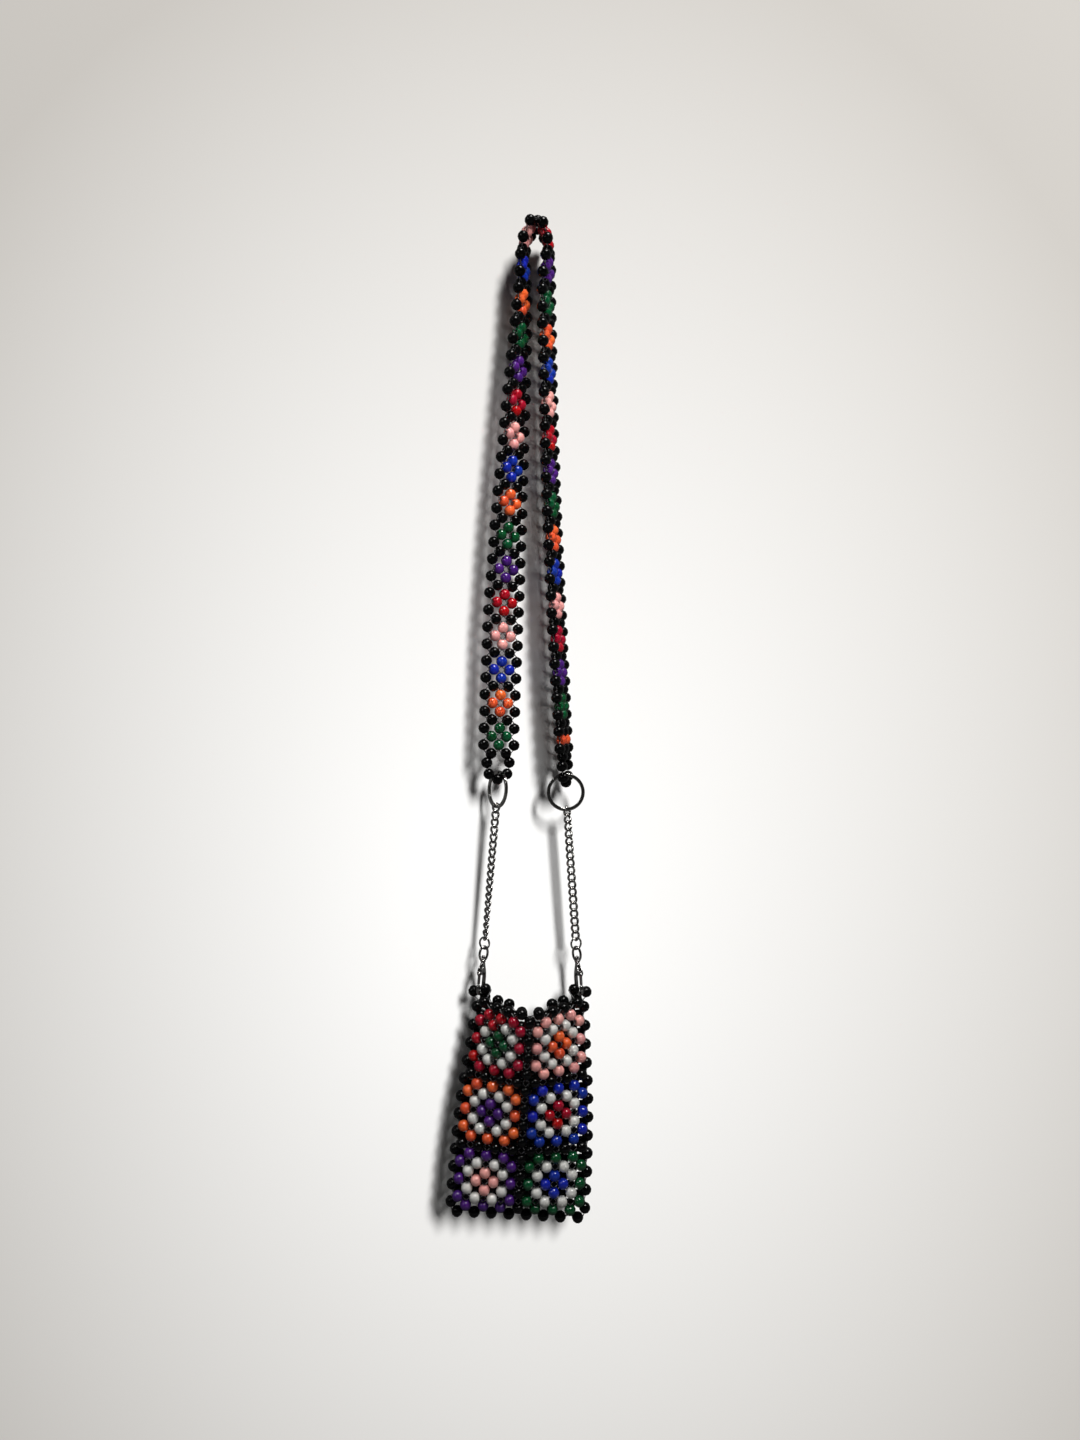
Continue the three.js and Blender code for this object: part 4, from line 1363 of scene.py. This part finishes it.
    def cheek(self, sign: int) -> Surface:
        """Return one of the two thin plates that hold the lever's pin: a slot shape with soft edges.

        Args:
            sign: -1 for the plate in front, 1 for the one behind.

        Returns:
            The plate.
        """
        ends = np.array([self.hub, self.cheek_foot])
        rise = ends[1] - ends[0]
        half = np.linspace(-0.5, 0.5, self.cheek_samples)
        turn = np.concatenate([half + 1, half]) * np.pi + np.arctan2(rise[1], rise[0])
        sizes = np.array(self.cheek_sizes)[:, None, None]
        flat = np.repeat(ends, len(half), axis=0) + sizes * circle(turn)
        points = upright(flat[..., 0], flat[..., 1], sign * np.array(self.cheek_depths)[:, None])
        return skin(points[:, ::-sign])

    def lever(self) -> Surface:
        """Return the lever that closes the hook: a bar with round edges up to its hub and thumb tab."""
        outer, inner = np.array(self.lever_outer), np.array(self.lever_inner)
        return lofted(outer, inner, self.lever_half_thick, power=0.6, sides=14)

    def hang(self, ring_middle: np.ndarray, palette: Palette) -> HangingLine:
        """Build every metal piece of this side.

        Args:
            ring_middle: The middle of the split ring.
            palette: The materials.

        Returns:
            The line that they hang on.
        """
        line = HangingLine(np.array(self.grip), ring_middle)
        collar, eye, jump, chain_foot = self.heights()
        ring = line.placed(self.split_ring(), self.ring_turn, line.span)
        wire, cast = palette.wire, palette.cast
        made = (
            ("split_ring", "coils", ring, wire, BAG_BODY),
            ("chain", "links", self.chain(line, chain_foot), wire, BAG_BODY),
            ("jump_ring", "wire", line.placed(self.jump_ring(), self.jump_turn, jump), wire, BAG_BODY),
            ("clasp_eye", "hoop", line.placed(self.eye(collar, eye), self.eye_turn), cast, BAG_BODY),
            ("clasp_claw", "hook", line.placed(self.claw(collar), self.claw_turn), cast, BAG_BODY),
            ("clasp_lever", "arm", line.placed(self.lever(), self.claw_turn), cast, f"{self.side}_lever"),
        )
        for node, look, surface, material, body in made:
            piece = add_piece(f"{self.side}_{node}_{look}", surface, [material], body)
            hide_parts(f"{self.side}_{node}")
        return line

    def corner_loop(self, line: HangingLine, pouch: Pouch, palette: Palette) -> None:
        """String two beads over an end of the rim, on the thread that the clasp holds.

        Args:
            line: The line that this side hangs on.
            pouch: The pouch.
            palette: The materials.
        """
        bead = pouch.bead
        cross = line.spin(self.claw_turn)[1] @ line.basis
        out = cross * np.sign(cross[0]) * self.way
        outer = line.grip + out * self.outer_bead[0] - UP * self.outer_bead[1]
        inner = line.grip - out * self.bead_offset
        slant = unit(line.grip - outer)
        middles, ways = np.stack([outer, inner]), np.stack([slant, out])
        beads = bead.strung(middles, ways, BeadColour.BLACK.value, CORNER_SEED + self.way)
        edge = pouch.point(self.way * pouch.half_width, 1, 0)
        rim = pouch.point(self.way * (pouch.half_width - 1), 0, -1)
        reach = bead.radius + self.corner_reach
        stops = np.stack([
            edge, edge + UP * self.corner_rise, outer - slant * reach, outer, line.grip,
            inner, inner - out * reach, rim,
        ])
        thread = bead.cord(stops, unit(np.cross(out, UP)), self.corner_samples)
        palette.add_woven(f"{self.side}_corner_loop", beads, thread)


@dataclass(frozen=True)
class Lamp:
    """A soft lamp: place and size in metres, power in watts, colour, what it lights and what it shows up in.

    A lamp behind the stage lights the back of the bag through it. The fan is its beam's angle in degrees.
    """

    name: str
    at: Triple
    size: Pair
    power: float
    colour: Triple
    on_stage: bool = False
    mirrored: bool = True
    behind: bool = False
    fan: float = 180.0
    aim: Triple = (0.0, 0.0, -0.4)

    def hang(self, stage: list[bpy.types.Object]) -> None:
        """Put the lamp into the scene, facing its aim.

        Args:
            stage: The wall and the floor, which get light only from a lamp meant for them.
        """
        data = bpy.data.lights.new(self.name, "AREA")
        data.shape = "ELLIPSE"
        data.size, data.size_y = self.size
        data.energy = self.power
        data.color = self.colour
        data.spread = np.radians(self.fan)
        lamp = bpy.data.objects.new(self.name, data)
        lamp.location = self.at
        lamp.rotation_euler = (Vector(self.aim) - Vector(self.at)).to_track_quat("-Z", "Y").to_euler()
        lamp.visible_glossy = self.mirrored
        bpy.context.scene.collection.objects.link(lamp)
        chosen = bpy.data.collections.new(f"{self.name}_stage")
        for item in stage:
            chosen.objects.link(item)
        for entry in chosen.collection_objects:
            entry.light_linking.link_state = "INCLUDE" if self.on_stage else "EXCLUDE"
        lamp.light_linking.receiver_collection = chosen
        if self.behind:
            lamp.light_linking.blocker_collection = chosen


@dataclass(frozen=True)
class Studio:
    """A pale wall behind the bag, a floor far below it, soft lights and the camera, in metres."""

    wall_y: float = 0.03
    floor_z: float = -1.02
    half: float = 1.6
    camera_at: Triple = (0.00267, -0.794, -0.374)
    lens: float = 26.0
    sensor: float = 36.0
    lamps: tuple[Lamp, ...] = (
        Lamp("key_light", (0.45, -0.9, 1.75), (0.8, 0.8), 38.0, (1.0, 0.985, 0.96)),
        Lamp("strap_light", (0.6, -1.6, 0.35), (0.5, 0.5), 1.0, (1.0, 0.985, 0.96), mirrored=False, fan=34.0,
             aim=(0.0, 0.0, -0.15)),
        Lamp("fill_light", (1.3, -2.8, 2.1), (1.0, 1.0), 3.0, (0.97, 0.98, 1.0), mirrored=False),
        Lamp("back_light", (0.3, 3.0, 0.3), (1.2, 1.2), 60.0, (0.98, 0.99, 1.0), mirrored=False, behind=True),
        Lamp("side_light", (-1.3, -1.1, 0.5), (0.25, 0.7), 2.5, (0.98, 0.99, 1.0)),
        Lamp("wall_light", (1.9, -4.8, 2.2), (0.7, 1.9), 450.0, (1.0, 0.995, 0.985), on_stage=True),
    )
    # The far colour of each pair is painted shade for the light's falloff.
    wall_paint_and_falloff: tuple[Triple, Triple] = ((0.92, 0.92, 0.915), (0.5, 0.48, 0.453))
    floor_paint_and_falloff: tuple[Triple, Triple] = ((0.82, 0.81, 0.79), (0.74, 0.7, 0.66))
    painted_falloff_middle: Pair = (-0.04, -0.52)
    painted_falloff_stretch: Triple = (1.35, 1.0, 1.0)
    painted_falloff_range: Pair = (0.1, 0.8)
    paint_rough: float = 0.9
    air: Triple = (1.0, 0.99, 0.97)
    sky: float = 0.02
    surround: float = 0.7
    dim: float = 0.06

    def sheet(self, name: str, corners: np.ndarray, material: Material) -> bpy.types.Object:
        """Add one flat stage sheet.

        Args:
            name: Its name.
            corners: Its four corners.
            material: Its paint.

        Returns:
            The sheet.
        """
        mesh = bpy.data.meshes.new(name)
        mesh.from_pydata(corners.tolist(), [], [[0, 1, 2, 3]])
        mesh.materials.append(material)
        sheet = bpy.data.objects.new(name, mesh)
        bpy.context.scene.collection.objects.link(sheet)
        return sheet

    def plaster(self, name: str, paint: tuple[Triple, Triple], one_sided: bool) -> Material:
        """Build the stage's paint: pale in the middle, a little darker and warmer far from it as painted
        shade for the light's falloff.

        It sends little light back to the bag, so that the bag's metal and black beads stay dark.

        Args:
            name: The material's name.
            paint: Colours in the middle and far out.
            one_sided: Whether the sheet can be seen through from behind.

        Returns:
            The material.
        """
        material, sheet, shader = new_material(name)
        place = sheet.add("ShaderNodeTexCoord").outputs["Object"]
        wide = sheet.add("ShaderNodeVectorMath", {0: place, 1: self.painted_falloff_stretch}, operation="MULTIPLY")
        middle = (self.painted_falloff_middle[0], self.wall_y, self.painted_falloff_middle[1])
        away = sheet.add("ShaderNodeVectorMath", {0: wide.outputs["Vector"], 1: middle}, operation="DISTANCE")
        # Painted shade: darker and warmer with distance from the bright middle.
        share = sheet.spread(away.outputs["Value"], self.painted_falloff_range, (0.0, 1.0))
        ray = sheet.add("ShaderNodeLightPath").outputs["Is Camera Ray"]
        seen = sheet.tint(ray, (self.dim, self.dim, self.dim), sheet.tint(share, *paint))
        sheet.fill(shader, {"Base Color": seen, "Roughness": self.paint_rough})
        if one_sided:
            behind = sheet.add("ShaderNodeNewGeometry").outputs["Backfacing"]
            clear = sheet.add("ShaderNodeBsdfTransparent").outputs[0]
            choice = sheet.add("ShaderNodeMixShader", {0: behind, 1: shader.outputs[0], 2: clear})
            sheet.fill(material.node_tree.nodes["Material Output"], {"Surface": choice.outputs[0]})
        return material

    def build(self) -> None:
        """Set up the stage, the lights, the air and the camera."""
        half, wall, floor = self.half, self.wall_y, self.floor_z
        wall_corners = np.array([
            (-half, wall, floor), (half, wall, floor), (half, wall, half), (-half, wall, half),
        ])
        floor_corners = np.array([
            (-half, -half, floor), (half, -half, floor), (half, half, floor), (-half, half, floor),
        ])
        stage = [
            self.sheet("wall", wall_corners, self.plaster("wall_paint_and_falloff", self.wall_paint_and_falloff, True)),
            self.sheet("floor", floor_corners, self.plaster("floor_paint_and_falloff", self.floor_paint_and_falloff, False)),
        ]
        for lamp in self.lamps:
            lamp.hang(stage)
        scene = bpy.context.scene
        scene.world = bpy.data.worlds.new("studio_air")
        scene.world.use_nodes = True
        sheet = NodeSheet(scene.world.node_tree)
        ray = sheet.add("ShaderNodeLightPath").outputs["Is Camera Ray"]
        level = sheet.spread(ray, (0.0, 1.0), (self.sky, self.surround))
        sheet.fill(sheet.tree.nodes["Background"], {"Color": self.air, "Strength": level})
        scene.view_settings.view_transform = "Standard"
        data = bpy.data.cameras.new("viewer")
        data.sensor_fit = "VERTICAL"
        data.sensor_height = self.sensor
        data.lens = self.lens
        camera = bpy.data.objects.new("viewer", data)
        camera.location = self.camera_at
        camera.rotation_euler = (np.pi / 2, 0.0, 0.0)
        scene.collection.objects.link(camera)
        scene.camera = camera


def main() -> None:
    """Load the frame and build each part of the bag in order."""
    logging.basicConfig(level=logging.INFO, format="%(name)s: %(message)s")
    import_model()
    Studio().build()
    palette = Palette.mixed()
    bead = Bead()
    strap = Strap(bead)
    strap.weave(palette)
    pouch = Pouch(bead)
    pouch.weave(palette)
    sides = (
        (Hardware("left", -1, (-42.8, 3.5, -579.4), -58.5, -32.0, 38.0, -113.0), 0),
        (Hardware("right", 1, (32.6, 1.8, -579.5), 0.0, 30.0, -40.0, -67.0), strap.rows),
    )
    for hardware, end_row in sides:
        lowest = strap.end_loop(hardware.side, end_row, palette)
        line = hardware.hang(lowest - UP * hardware.drop(bead), palette)
        hardware.corner_loop(line, pouch, palette)
    LOG.info("boxes written")


if __name__ == "__main__":
    main()
